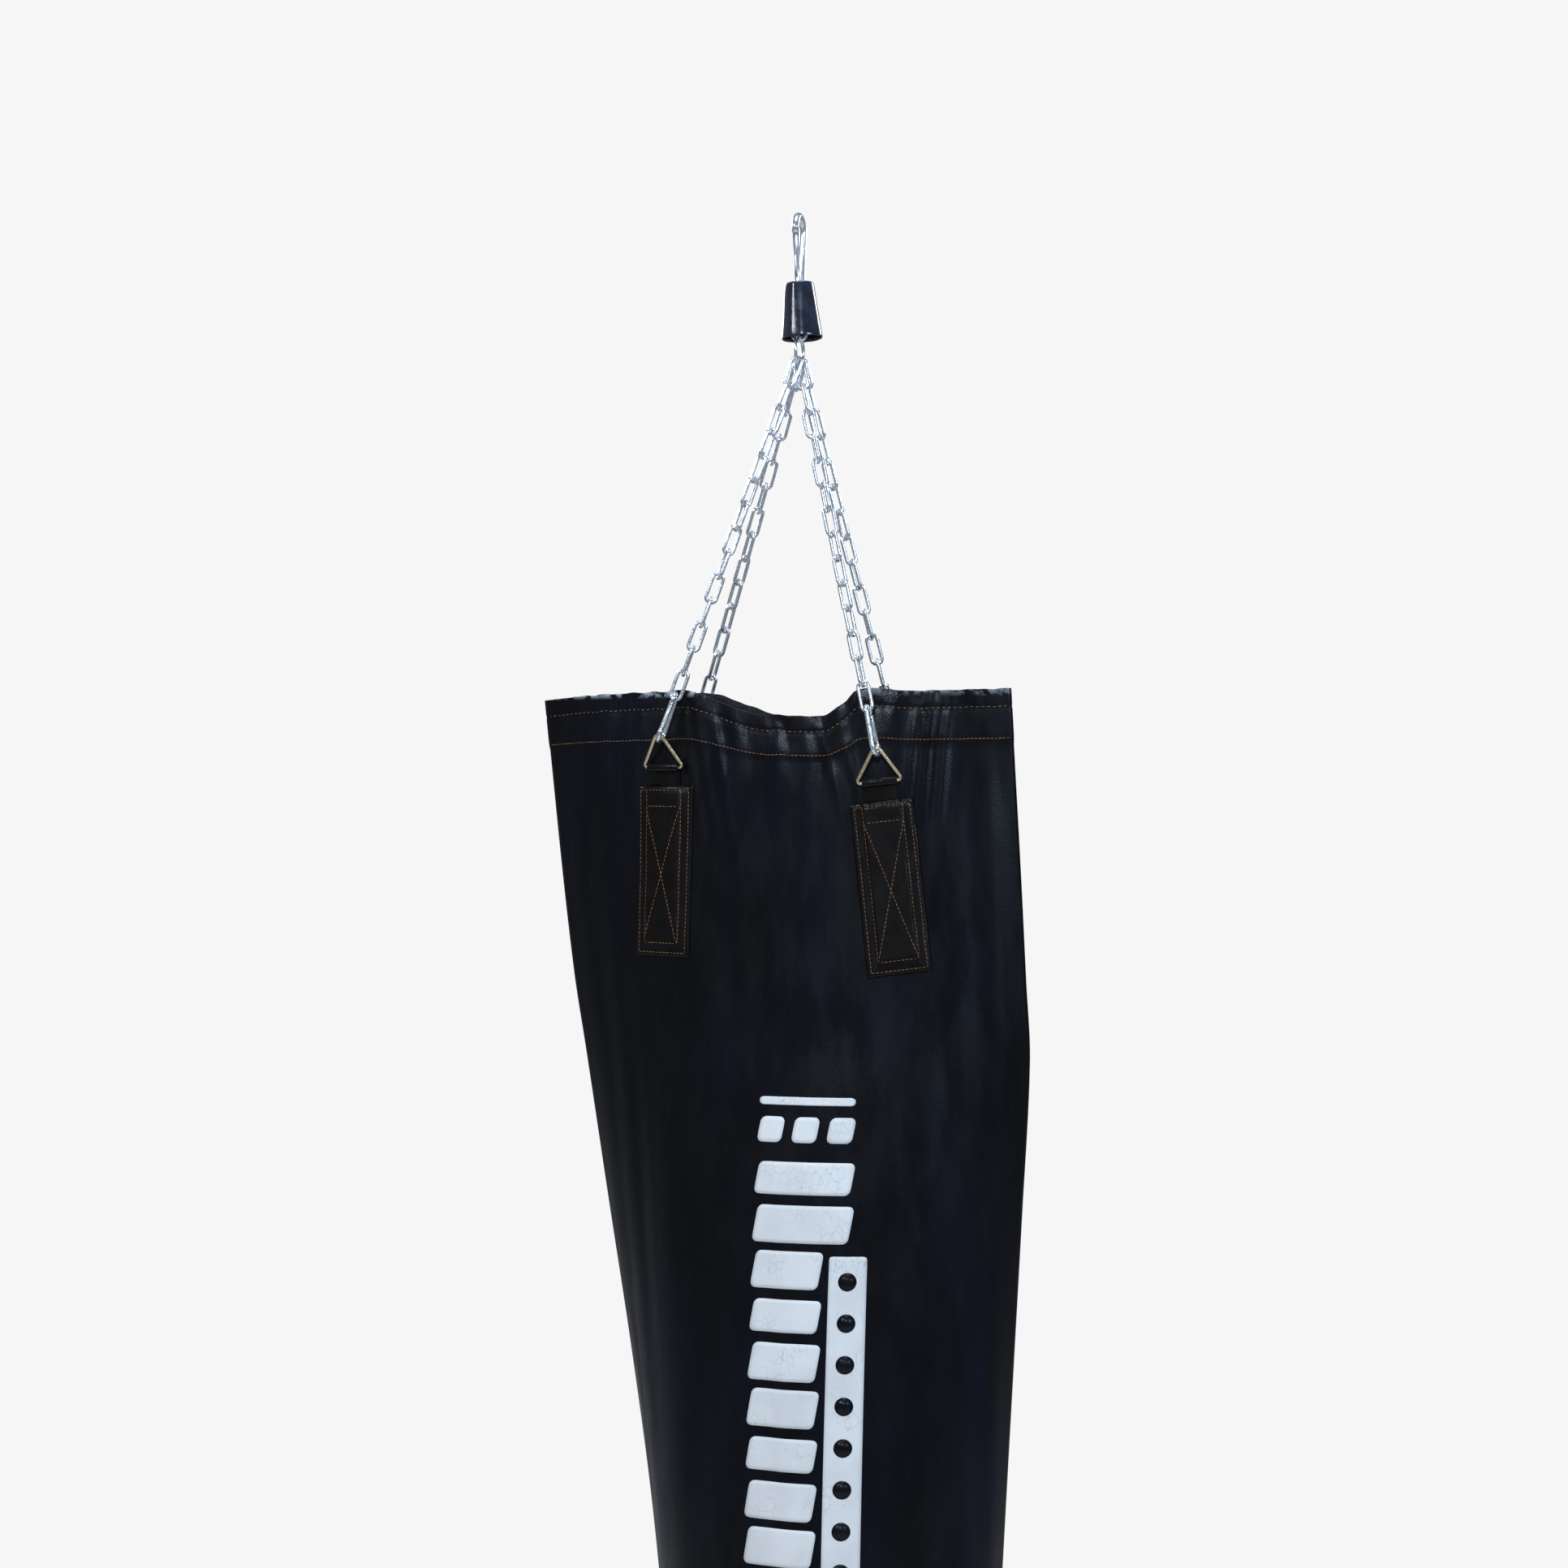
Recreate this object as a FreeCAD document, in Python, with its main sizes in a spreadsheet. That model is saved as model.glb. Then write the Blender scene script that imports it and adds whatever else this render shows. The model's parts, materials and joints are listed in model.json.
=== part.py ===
import FreeCAD, Part
import math
import os

import Sketcher

# Unfilled heavy bag with its hanging gear, as a parametric document.
# Millimetres, +Z up. The origin is the inside of the crown of the top snap hook, the point that
# a ceiling eye or a bracket carries. Everything else hangs below it. The bag's front faces -Y.

V = FreeCAD.Vector
doc = FreeCAD.newDocument("heavy_bag")
sheet = doc.addObject("Spreadsheet::Sheet", "Sizes")

# ---------------------------------------------------------------- driving dimensions
SIZES = {
    # top snap hook: wire, outer length and outer widths of its wide and narrow ends
    "topWire": 8.0, "topLength": 95.0, "topWide": 42.0, "topNarrow": 23.0,
    # small snap hooks, one on each chain
    "snapWire": 6.0, "snapLength": 60.0, "snapWide": 27.0, "snapNarrow": 18.5,
    # what snap hooks of every size share, as parts of their wire's diameter
    "hingeDrop": 0.55, "tongueEnd": 0.45, "tongueThick": 0.36, "gateRadius": 0.43,
    "rivetRadius": 0.19, "forkDepth": 0.62, "noseShare": 0.9, "rivetPlay": 0.05, "forkPlay": 0.15,
    "noseGap": 0.45,
    # swivel between the top hook and the chains
    "eyeWire": 6.0, "eyeRadius": 8.0, "stemRadius": 4.0, "headRadius": 7.4, "headHeight": 4.0,
    "barrelRadius": 11.0, "barrelHeight": 21.0, "barrelWall": 2.5, "barrelTop": 97.0,
    "ballSpace": 3.4, "plugHeight": 5.0, "ballCount": 8.0,
    "lowerEyeWire": 5.0, "lowerEyeRadius": 7.5, "ballRadius": 1.5, "ballCircle": 5.9,
    "ringWire": 4.0, "ringRadius": 17.0,
    # tapered cover that hides the swivel
    "coverTop": 70.0, "coverHeight": 62.0, "coverTopRadius": 16.4, "coverBottomRadius": 23.0,
    "coverWall": 1.6, "coverTilt": 3.0, "coverShoulder": 5.0, "coverLip": 0.8,
    # long-link chain
    "linkWire": 4.0, "linkInner": 29.1, "linkWidth": 16.0, "linkCount": 14.0,
    # triangular strap rings
    "triWire": 4.0, "triWidth": 50.0, "triHeight": 41.0, "triTop": 6.0, "triBase": 3.2,
    # strap and the pad stitched over it
    "strapWidth": 38.6, "strapThick": 2.6, "strapTail": 150.0, "strapShown": 20.0,
    "foldPlay": 0.3, "reliefPlay": 0.6, "ringLean": 20.0,
    "padWidth": 68.0, "padHeight": 188.0, "padThick": 5.0,
    # bag shell
    "bagTop": 525.0, "bagLength": 1200.0, "bagGirth": 1100.0, "bagWall": 2.0,
    "dipLeft": -100.0, "dipRight": 62.0, "dipDepth": 27.0,
    "bandHeight": 54.0, "bandThick": 1.5, "layerGap": 0.3, "seamGap": 0.3,
    "baseThick": 3.0, "weltRadius": 3.0,
    # clearance where loose metal parts hang on each other
    "hangGap": 0.2, "hookDrop": 0.6,
}

# Horizontal stations of the bag: drop below the rim, half width, sideways shift of the centre.
# The empty shell is pulled flat at the mouth and opens to a full circle at its base.
STATIONS = ((0, 268.0, -31.0), (175, 264.0, -17.0), (315, 259.0, -5.0), (400, 254.0, 4.0),
            (575, 235.5, 13.5), (735, 218.0, 22.0), (960, 195.5, 32.0), (1200, 175.0, 40.0))


def circle_arc(half_width, half_girth):
    """Radius and bulge of the circular arc with this half chord and this half length."""
    low, high = 1e-4, math.pi / 2
    for _ in range(60):
        angle = (low + high) / 2
        if half_girth * math.sin(angle) / angle > half_width:
            low = angle
        else:
            high = angle
    radius = half_girth / angle
    return radius, radius * (1 - math.cos(angle))


for number, (drop, half_width, shift) in enumerate(STATIONS):
    radius, bulge = circle_arc(half_width, SIZES["bagGirth"] / 4)
    SIZES[f"stationDrop{number}"] = drop
    SIZES[f"stationHalf{number}"] = half_width
    SIZES[f"stationShift{number}"] = shift
    SIZES[f"stationRadius{number}"] = round(radius, 4)
    SIZES[f"stationBulge{number}"] = round(bulge, 4)

for row, (alias, value) in enumerate(SIZES.items(), start=1):
    sheet.set(f"A{row}", alias)
    sheet.set(f"B{row}", str(value))
    sheet.setAlias(f"B{row}", alias)
doc.recompute()


def size(alias):
    """One driving dimension, read back from the sheet."""
    return float(sheet.get(alias))


def bind(target, **expressions):
    """Ties properties of an object to sheet cells: alias names are written without the sheet."""
    for prop, text in expressions.items():
        words = []
        for word in text.split():
            words.append("Sizes." + word if word in SIZES else word)
        target.setExpression(prop.replace("__", "."), " ".join(words))


# ---------------------------------------------------------------- small builders
finished = []


def finish(piece, label, placement=None):
    """Names a sub-part, puts it in its place and keeps it for the export."""
    piece.Label = label
    if placement is not None:
        piece.Placement = placement
    finished.append(piece)
    return piece


def frame_at(origin, up, side):
    """Placement whose local Z runs along up and whose local X lies nearest to side."""
    z_axis = V(up).normalize()
    y_axis = z_axis.cross(V(side)).normalize()
    x_axis = y_axis.cross(z_axis)
    return FreeCAD.Placement(V(origin), FreeCAD.Rotation(x_axis, y_axis, z_axis, "ZXY"))


def new_body(name):
    return doc.addObject("PartDesign::Body", name)


def origin_item(body, role):
    return next(item for item in body.Origin.OriginFeatures if item.Role == role)


def sketch_on(body, name, role, offset=None):
    """A sketch on one of the body's own origin planes."""
    sketch = body.newObject("Sketcher::SketchObject", name)
    sketch.AttachmentSupport = [(origin_item(body, role), "")]
    sketch.MapMode = "FlatFace"
    if offset is not None:
        sketch.AttachmentOffset = offset
    return sketch


def name_constraint(sketch, constraint, name, expression):
    """Adds a dimension to a sketch and ties it to the sheet."""
    index = sketch.addConstraint(constraint)
    sketch.renameConstraint(index, name)
    bind(sketch, **{"Constraints__" + name: expression})


def rectangle(sketch, left, low, right, high, width=None, height=None):
    """A closed rectangle with its width and height tied to the sheet where they are named."""
    corners = [V(left, low, 0), V(right, low, 0), V(right, high, 0), V(left, high, 0)]
    first = sketch.GeometryCount
    for index, corner in enumerate(corners):
        sketch.addGeometry(Part.LineSegment(corner, corners[(index + 1) % 4]))
    for index in range(4):
        sketch.addConstraint(Sketcher.Constraint("Coincident", first + index, 2,
                                                 first + (index + 1) % 4, 1))
        kind = "Horizontal" if index % 2 == 0 else "Vertical"
        sketch.addConstraint(Sketcher.Constraint(kind, first + index))
    sketch.addConstraint(Sketcher.Constraint("DistanceX", -1, 1, first, 1, left))
    sketch.addConstraint(Sketcher.Constraint("DistanceY", -1, 1, first, 1, low))
    if width:
        name_constraint(sketch, Sketcher.Constraint("DistanceX", first, 1, first, 2, right - left),
                        f"width{first}", width)
    if height:
        name_constraint(sketch, Sketcher.Constraint("DistanceY", first + 1, 1, first + 1, 2,
                                                    high - low), f"height{first}", height)


def round_section(body, name, wire, placement):
    """The round cross-section of a bent wire, tied to the wire's diameter."""
    section = sketch_on(body, name, "XY_Plane", placement)
    section.addGeometry(Part.Circle(V(0, 0, 0), V(0, 0, 1), size(wire) / 2))
    section.addConstraint(Sketcher.Constraint("Coincident", 0, 3, -1, 1))
    name_constraint(section, Sketcher.Constraint("Diameter", 0, size(wire)), "wire", wire)
    return section


def bend_wire(body, name, plane, wire, edges, start, heading, offset=None):
    """Sweeps a round wire along a chain of edges drawn on one of the body's planes."""
    path = sketch_on(body, name + "_path", plane, offset)
    path.addGeometry(edges)
    section = round_section(body, name + "_section", wire,
                            FreeCAD.Placement(start, FreeCAD.Rotation(V(0, 0, 1), heading)))
    doc.recompute()
    pipe = body.newObject("PartDesign::AdditivePipe", name)
    pipe.Profile = (section, [""])
    pipe.Spine = (path, [f"Edge{index + 1}" for index in range(len(edges))])
    return pipe


def torus(name, ring, wire):
    """A closed ring of round wire about the local Z axis."""
    ring_object = doc.addObject("Part::Torus", name)
    bind(ring_object, Radius1=ring, Radius2=f"{wire} / 2")
    return ring_object


def cylinder(name, radius, height, drop="0"):
    """An upright cylinder whose top is at the given drop below the local origin."""
    rod = doc.addObject("Part::Cylinder", name)
    bind(rod, Radius=radius, Height=height)
    bind(rod, **{"Placement__Base__z": f"- ( {drop} ) - ( {height} )"})
    return rod


def fuse(name, *pieces):
    joined = doc.addObject("Part::MultiFuse", name)
    joined.Shapes = list(pieces)
    return joined


def cut(name, base, tool):
    trimmed = doc.addObject("Part::Cut", name)
    trimmed.Base = base
    trimmed.Tool = tool
    return trimmed


# ---------------------------------------------------------------- snap hooks
def snap_hook(name, wire, length, wide, narrow, placement):
    """A pear-shaped snap hook with its gate and rivet.

    Local frame: the hook lies in XZ, hangs down from the inside of its narrow crown at the
    origin, and its gate is on the +X side.
    """
    thick = size(wire)
    small = (size(narrow) - thick) / 2
    large = (size(wide) - thick) / 2
    span = size(length) - thick - small - large
    lean = math.asin((large - small) / span)
    top = V(0, -(small - thick / 2), 0)
    low = V(0, top.y - span, 0)

    def on_arc(centre, radius, angle):
        return centre + V(radius * math.cos(angle), radius * math.sin(angle), 0)

    right_top, right_low = on_arc(top, small, -lean), on_arc(low, large, -lean)
    left_top, left_low = on_arc(top, small, math.pi + lean), on_arc(low, large, math.pi + lean)
    run = (right_low - right_top).Length
    down = (right_low - right_top).normalize()
    hinge = right_top + down * (thick * size("hingeDrop"))
    nose = right_top + down * (run * size("noseShare"))
    tongue_end = hinge + down * (thick * size("tongueEnd"))
    edges = [Part.LineSegment(nose, right_low),
             Part.Arc(right_low, on_arc(low, large, -math.pi / 2), left_low),
             Part.LineSegment(left_low, left_top),
             Part.Arc(left_top, on_arc(top, small, math.pi / 2), right_top),
             Part.LineSegment(right_top, tongue_end)]

    body = new_body(name + "_body")
    heading = V(down.x, 0, down.y)
    bend_wire(body, name + "_wire", "XZ_Plane", wire, edges, V(nose.x, 0, nose.y), heading)
    doc.recompute()

    # the upper end is flattened to a tongue that the forked gate straddles
    tongue = size("tongueThick") * thick
    along = FreeCAD.Placement(V(hinge.x, 0, hinge.y), FreeCAD.Rotation(V(0, 0, 1), heading))
    reach = thick / 2 + size("forkPlay") + size("hangGap")
    for side in (-1, 1):
        cheek = doc.addObject("Part::Box", f"{name}_cheek_{side}")
        bind(cheek, Length=f"2 * {wire}", Width=wire, Height=f"3 * {wire}")
        offset = tongue / 2 if side > 0 else -tongue / 2 - thick
        cheek.Placement = along * FreeCAD.Placement(V(-thick, offset, -reach), FreeCAD.Rotation())
        body = cut(f"{name}_flat_{side}", body, cheek)
    pin = size("rivetRadius") * thick
    pin_hole = rivet_rod(name + "_eye", pin + size("rivetPlay"), thick, along)
    hook = cut(name + "_bent", body, pin_hole)

    # gate: a rod forked at its upper end, rounded about the rivet
    rod = doc.addObject("Part::Cylinder", name + "_rod")
    bind(rod, Radius=f"gateRadius * {wire}")
    rod.Height = (nose - hinge).Length - size("noseGap")
    ball = doc.addObject("Part::Sphere", name + "_round")
    bind(ball, Radius=f"gateRadius * {wire}")
    blank = fuse(name + "_blank", rod, ball)
    slot = doc.addObject("Part::Box", name + "_slot")
    slot_width = tongue + 2 * size("forkPlay")
    bind(slot, Length=f"2 * {wire}", Height=f"( 0.5 + forkDepth ) * {wire}")
    slot.Width = slot_width
    slot.Placement.Base = V(-thick, -slot_width / 2, -thick / 2)
    forked = cut(name + "_forked", blank, slot)
    pivot_hole = rivet_rod(name + "_bore", pin + size("rivetPlay"), thick, FreeCAD.Placement())
    gate = cut(name + "_swing", forked, pivot_hole)
    rivet = rivet_rod(name + "_pin", pin, 2 * size("gateRadius") * thick, FreeCAD.Placement())

    finish(hook, name, placement)
    finish(gate, name + "_gate", placement * along)
    finish(rivet, name + "_rivet", placement * along * rivet.Placement)
    pivot = placement.multVec(V(hinge.x, 0, hinge.y))
    axis = placement.Rotation.multVec(V(0, 1, 0))
    print("gate pivot", name, [round(value, 3) for value in pivot],
          [round(value, 5) for value in axis])


def rivet_rod(name, radius, length, placement):
    """A rod along local Y, centred on the origin."""
    rod = doc.addObject("Part::Cylinder", name)
    rod.Radius = radius
    rod.Height = length
    rod.Placement = placement * FreeCAD.Placement(V(0, length / 2, 0),
                                                  FreeCAD.Rotation(V(1, 0, 0), 90))
    return rod


# The top hook stands with its wide bow up and its plane along Y, gate to the front.
top_foot = -(size("topLength") - 2 * size("topWire"))
snap_hook("top_hook", "topWire", "topLength", "topWide", "topNarrow",
          frame_at((0, 0, top_foot), (0, 0, -1), (0, -1, 0)))

# ---------------------------------------------------------------- swivel
eye_centre = top_foot + size("hangGap") + (size("eyeWire") / 2) - size("eyeRadius")
upright = FreeCAD.Rotation(V(1, 0, 0), 90)

eye_ring = torus("eye_ring", "eyeRadius", "eyeWire")
eye_ring.Placement = FreeCAD.Placement(V(0, 0, eye_centre), upright)
stem_top = -(eye_centre - size("eyeRadius"))
head_drop = size("barrelTop") + size("barrelWall") + size("ballSpace")
stem = cylinder("eye_stem", "stemRadius", str(head_drop - stem_top + 1), str(stem_top))
head = cylinder("eye_head", "headRadius", "headHeight", str(head_drop))
finish(fuse("eye_joined", eye_ring, stem, head), "swivel_eye")

# the barrel is a cup turned upside down, closed below by the lower eye's plug
shell = cylinder("barrel_shell", "barrelRadius", "barrelHeight", "barrelTop")
bore = cylinder("barrel_bore", "barrelRadius - barrelWall", "barrelHeight",
                "barrelTop + barrelWall")
mouth = cylinder("barrel_mouth", "stemRadius + 0.1", "barrelHeight", "barrelTop - 2")
finish(cut("barrel_cup", cut("barrel_bored", shell, bore), mouth), "swivel_barrel")

lower_centre = -(size("barrelTop") + size("barrelHeight") + size("lowerEyeRadius"))
lower_ring = torus("lower_ring", "lowerEyeRadius", "lowerEyeWire")
lower_ring.Placement = FreeCAD.Placement(V(0, 0, lower_centre), upright)
plug = cylinder("lower_plug", "barrelRadius - barrelWall - 0.02", "plugHeight",
                "barrelTop + barrelHeight - plugHeight")
finish(fuse("lower_joined", lower_ring, plug), "swivel_lower_eye")

balls = []
ball_height = -(head_drop - size("ballRadius") - 0.1)
for number in range(round(size("ballCount"))):
    ball = doc.addObject("Part::Sphere", f"ball_{number}")
    bind(ball, Radius="ballRadius")
    angle = 2 * math.pi * number / size("ballCount")
    ball.Placement.Base = V(size("ballCircle") * math.cos(angle),
                            size("ballCircle") * math.sin(angle), ball_height)
    balls.append(ball)
bearing = doc.addObject("Part::Compound", "bearing")
bearing.Links = balls
finish(bearing, "swivel_balls")

# main ring: hangs in the lower eye and carries the four chains
lower_inside = lower_centre - size("lowerEyeRadius") + size("lowerEyeWire") / 2
ring_centre = lower_inside + size("hangGap") + size("ringWire") / 2 - size("ringRadius")
main_ring = torus("ring", "ringRadius", "ringWire")
finish(main_ring, "main_ring",
       FreeCAD.Placement(V(0, 0, ring_centre), FreeCAD.Rotation(V(0, 1, 0), 90)))

# ---------------------------------------------------------------- tapered cover
cover = new_body("cover_body")
profile = sketch_on(cover, "cover_profile", "XZ_Plane")
wall = size("coverWall")
top_radius, low_radius, tall = size("coverTopRadius"), size("coverBottomRadius"), size("coverHeight")
shoulder, lip = size("coverShoulder"), size("coverLip")
outline = [(top_radius - lip, 0), (top_radius, -shoulder), (low_radius, -tall),
           (low_radius - wall, -tall), (top_radius - wall, -shoulder - lip),
           (top_radius - lip - wall, 0)]
points = [V(x, z, 0) for x, z in outline]
for index, point in enumerate(points):
    profile.addGeometry(Part.LineSegment(point, points[(index + 1) % len(points)]))
spin = cover.newObject("PartDesign::Revolution", "cover_spin")
spin.Profile = profile
spin.ReferenceAxis = (profile, ["V_Axis"])
spin.Angle = 360
finish(cover, "swivel_cover", FreeCAD.Placement(
    V(0, 0, -size("coverTop")), FreeCAD.Rotation(V(0, 1, 0), -size("coverTilt"))))


# ---------------------------------------------------------------- chains
def link_edges():
    """Centre line of one long link, upright about the local origin."""
    half = (size("linkWidth") - size("linkWire")) / 2
    rise = size("linkInner") / 2 + size("linkWire") / 2 - half
    return [Part.LineSegment(V(half, 0, 0), V(half, -rise, 0)),
            Part.Arc(V(half, -rise, 0), V(0, -rise - half, 0), V(-half, -rise, 0)),
            Part.LineSegment(V(-half, -rise, 0), V(-half, rise, 0)),
            Part.Arc(V(-half, rise, 0), V(0, rise + half, 0), V(half, rise, 0)),
            Part.LineSegment(V(half, rise, 0), V(half, 0, 0))]


link = new_body("link_body")
bend_wire(link, "link_wire", "XZ_Plane", "linkWire", link_edges(),
          V((size("linkWidth") - size("linkWire")) / 2, 0, 0), V(0, 0, 1))
doc.recompute()


def chain(name, start, end, twist):
    """A taut chain from its upper to its lower contact point.

    Each link stands a quarter turn from the one above, plus its share of the chain's twist,
    which no pattern feature can give, so the chain is a group of placed copies of the link.
    """
    run = end - start
    count = round(size("linkCount"))
    pitch = run.Length / count
    if pitch > size("linkInner") - 0.05:
        raise RuntimeError(f"{name}: pitch {pitch:.2f} is longer than a link's inside")
    links = []
    for number in range(count):
        turn = FreeCAD.Rotation(V(0, 0, 1), 90 * number + twist * number / (count - 1))
        copy = link.Shape.copy()
        copy.Placement = FreeCAD.Placement(V(0, 0, -pitch * (number + 0.5)), turn)
        links.append(copy)
    group = doc.addObject("Part::Feature", name + "_links")
    group.Shape = Part.makeCompound(links)
    finish(group, name, frame_at(start, run * -1, (1, 0, 0)))


# ---------------------------------------------------------------- triangular rings, straps, pads
def triangle_edges():
    """Centre line of the triangular ring: apex up at the local origin's inside, bar below."""
    wire, crown, corner = size("triWire"), size("triTop"), size("triBase")
    half = (size("triWidth") - wire) / 2
    tall = size("triHeight") - wire
    centre_low = V(half - corner, wire / 2 - tall + corner, 0)
    centre_top = V(0, wire / 2 - crown, 0)
    apart = math.hypot(centre_low.x, centre_top.y - centre_low.y)
    slope = (math.atan2(centre_low.x, centre_top.y - centre_low.y)
             - math.asin((crown - corner) / apart))

    def at(centre, angle):
        radius = crown if centre is centre_top else corner
        return centre + V(radius * math.cos(angle), radius * math.sin(angle), 0)

    left_low = V(-centre_low.x, centre_low.y, 0)
    bar = centre_low.y - corner
    return [Part.LineSegment(V(0, bar, 0), V(centre_low.x, bar, 0)),
            Part.Arc(V(centre_low.x, bar, 0), at(centre_low, (slope - math.pi / 2) / 2),
                     at(centre_low, slope)),
            Part.LineSegment(at(centre_low, slope), at(centre_top, slope)),
            Part.Arc(at(centre_top, slope), at(centre_top, math.pi / 2),
                     at(centre_top, math.pi - slope)),
            Part.LineSegment(at(centre_top, math.pi - slope), at(left_low, math.pi - slope)),
            Part.Arc(at(left_low, math.pi - slope),
                     at(left_low, math.pi + (math.pi / 2 - slope) / 2), V(left_low.x, bar, 0)),
            Part.LineSegment(V(left_low.x, bar, 0), V(0, bar, 0))], bar


def triangle_ring(name, placement):
    edges, bar = triangle_edges()
    body = new_body(name + "_body")
    bend_wire(body, name + "_wire", "XZ_Plane", "triWire", edges, V(0, 0, bar), V(1, 0, 0))
    finish(body, name, placement)
    return placement.multVec(V(0, 0, bar))


def strap_loop(name, placement):
    """Strap folded round the ring's bar; its tail runs down under the pad. Outward is local -Y."""
    inner = size("triWire") / 2 + size("foldPlay")
    thick = size("strapThick")
    body = new_body(name + "_body")
    side = sketch_on(body, name + "_side", "YZ_Plane")
    side.addGeometry(Part.Circle(V(0, 0, 0), V(0, 0, 1), inner + thick))
    side.addGeometry(Part.Circle(V(0, 0, 0), V(0, 0, 1), inner))
    name_constraint(side, Sketcher.Constraint("Radius", 0, inner + thick), "outside",
                    "triWire / 2 + foldPlay + strapThick")
    name_constraint(side, Sketcher.Constraint("Radius", 1, inner), "inside",
                    "triWire / 2 + foldPlay")
    fold = body.newObject("PartDesign::Pad", name + "_fold")
    fold.Profile = side
    fold.Midplane = True
    bind(fold, Length="strapWidth")
    doc.recompute()
    tail = sketch_on(body, name + "_tail_side", "YZ_Plane")
    rectangle(tail, inner, -size("strapTail"), inner + thick, 0, "strapThick", "strapTail")
    run = body.newObject("PartDesign::Pad", name + "_tail")
    run.Profile = tail
    run.Midplane = True
    bind(run, Length="strapWidth")
    finish(body, name, placement)


def strap_pad(name, placement):
    """Leather pad stitched over the strap, relieved behind for it. Local Z is outward."""
    body = new_body(name + "_body")
    outline = sketch_on(body, name + "_outline", "XY_Plane")
    rectangle(outline, -size("padWidth") / 2, -size("padHeight"), size("padWidth") / 2, 0,
              "padWidth", "padHeight")
    slab = body.newObject("PartDesign::Pad", name + "_slab")
    slab.Profile = outline
    bind(slab, Length="padThick")
    doc.recompute()
    whole = body.Shape.Volume
    half = size("strapWidth") / 2 + size("reliefPlay")
    relief = sketch_on(body, name + "_relief", "XY_Plane")
    rectangle(relief, -half, -size("strapTail"), half, 1, "strapWidth + 2 * reliefPlay",
              "strapTail + 1")
    channel = body.newObject("PartDesign::Pocket", name + "_channel")
    channel.Profile = relief
    bind(channel, Length="strapThick + layerGap")
    channel.Reversed = True
    doc.recompute()
    if body.Shape.Volume > whole - 1000:
        raise RuntimeError(name + ": the channel cuts nothing")
    finish(body, name, placement)


# ---------------------------------------------------------------- bag shell
def station(height):
    """Half width, shift, arc radius and bulge of the shell at a height, between its stations."""
    drop = -size("bagTop") - height
    for number in range(len(STATIONS) - 1):
        first, last = size(f"stationDrop{number}"), size(f"stationDrop{number + 1}")
        if drop <= last:
            break
    part = (drop - first) / (last - first)
    return [size(f"station{word}{number}") * (1 - part) + size(f"station{word}{number + 1}") * part
            for word in ("Half", "Shift", "Radius", "Bulge")]


def surface(x, height, side):
    """Point of the outer surface of the front (-1) or back (+1) panel."""
    half, shift, _, bulge = station(height)
    radius = (half ** 2 + bulge ** 2) / (2 * bulge)
    depth = math.sqrt(radius ** 2 - (x - shift) ** 2) - radius + bulge
    return V(x, side * depth, height)


def shell_part(name, side, inset, thick, first_drop, last_drop):
    """Half of the shell between two drops, as a loft of crescent sections."""
    drops = [drop for drop, _, _ in STATIONS if first_drop < drop < last_drop]
    drops = [first_drop] + drops + [last_drop]
    body = new_body(name + "_body")
    sections = []
    for number, drop in enumerate(drops):
        height = -size("bagTop") - drop
        half, shift, _, bulge = station(height)
        radius = (half ** 2 + bulge ** 2) / (2 * bulge)
        centre = V(shift, side * (bulge - radius), 0)
        section = sketch_on(body, f"{name}_section_{number}", "XY_Plane",
                            FreeCAD.Placement(V(0, 0, height), FreeCAD.Rotation()))
        ends = []
        for depth in (inset, inset + thick):
            reach = radius - depth
            edge = side * size("seamGap") / 2
            width = math.sqrt(reach ** 2 - (edge - centre.y) ** 2)
            left, right = V(shift - width, edge, 0), V(shift + width, edge, 0)
            section.addGeometry(Part.Arc(left, V(shift, centre.y + side * reach, 0), right))
            ends.append((left, right))
        for index in range(2):
            section.addGeometry(Part.LineSegment(ends[0][index], ends[1][index]))
        bind(section, AttachmentOffset__Base__z=f"- bagTop - {drop}")
        sections.append(section)
    doc.recompute()
    loft = body.newObject("PartDesign::AdditiveLoft", name + "_loft")
    loft.Profile = sections[0]
    loft.Sections = [(section, [""]) for section in sections[1:]]
    loft.Ruled = True
    doc.recompute()
    return body


def dipped(name, body):
    """Lowers the rim between the straps along a shallow arc."""
    left, right, deep = size("dipLeft"), size("dipRight"), size("dipDepth")
    radius = ((right - left) ** 2 / 4 + deep ** 2) / (2 * deep)
    drum = doc.addObject("Part::Cylinder", name + "_dip")
    drum.Radius = radius
    bind(drum, Height="bagGirth / 4")
    drum.Placement = FreeCAD.Placement(
        V((left + right) / 2, size("bagGirth") / 8, radius - deep - size("bagTop")),
        FreeCAD.Rotation(V(1, 0, 0), 90))
    whole = body.Shape.Volume
    trimmed = cut(name + "_dipped", body, drum)
    doc.recompute()
    if trimmed.Shape.Volume >= whole:
        raise RuntimeError(name + ": the dip cuts nothing")
    return trimmed


for word, side in (("front", -1), ("back", 1)):
    panel = shell_part(word + "_panel", side, 0, size("bagWall"), 0, size("bagLength"))
    finish(dipped(word + "_panel", panel), word + "_panel")
    band = shell_part(word + "_band", side, size("bagWall") + size("layerGap"), size("bandThick"),
                      0, size("bandHeight"))
    finish(dipped(word + "_band", band), word + "_mouth_band")

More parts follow.
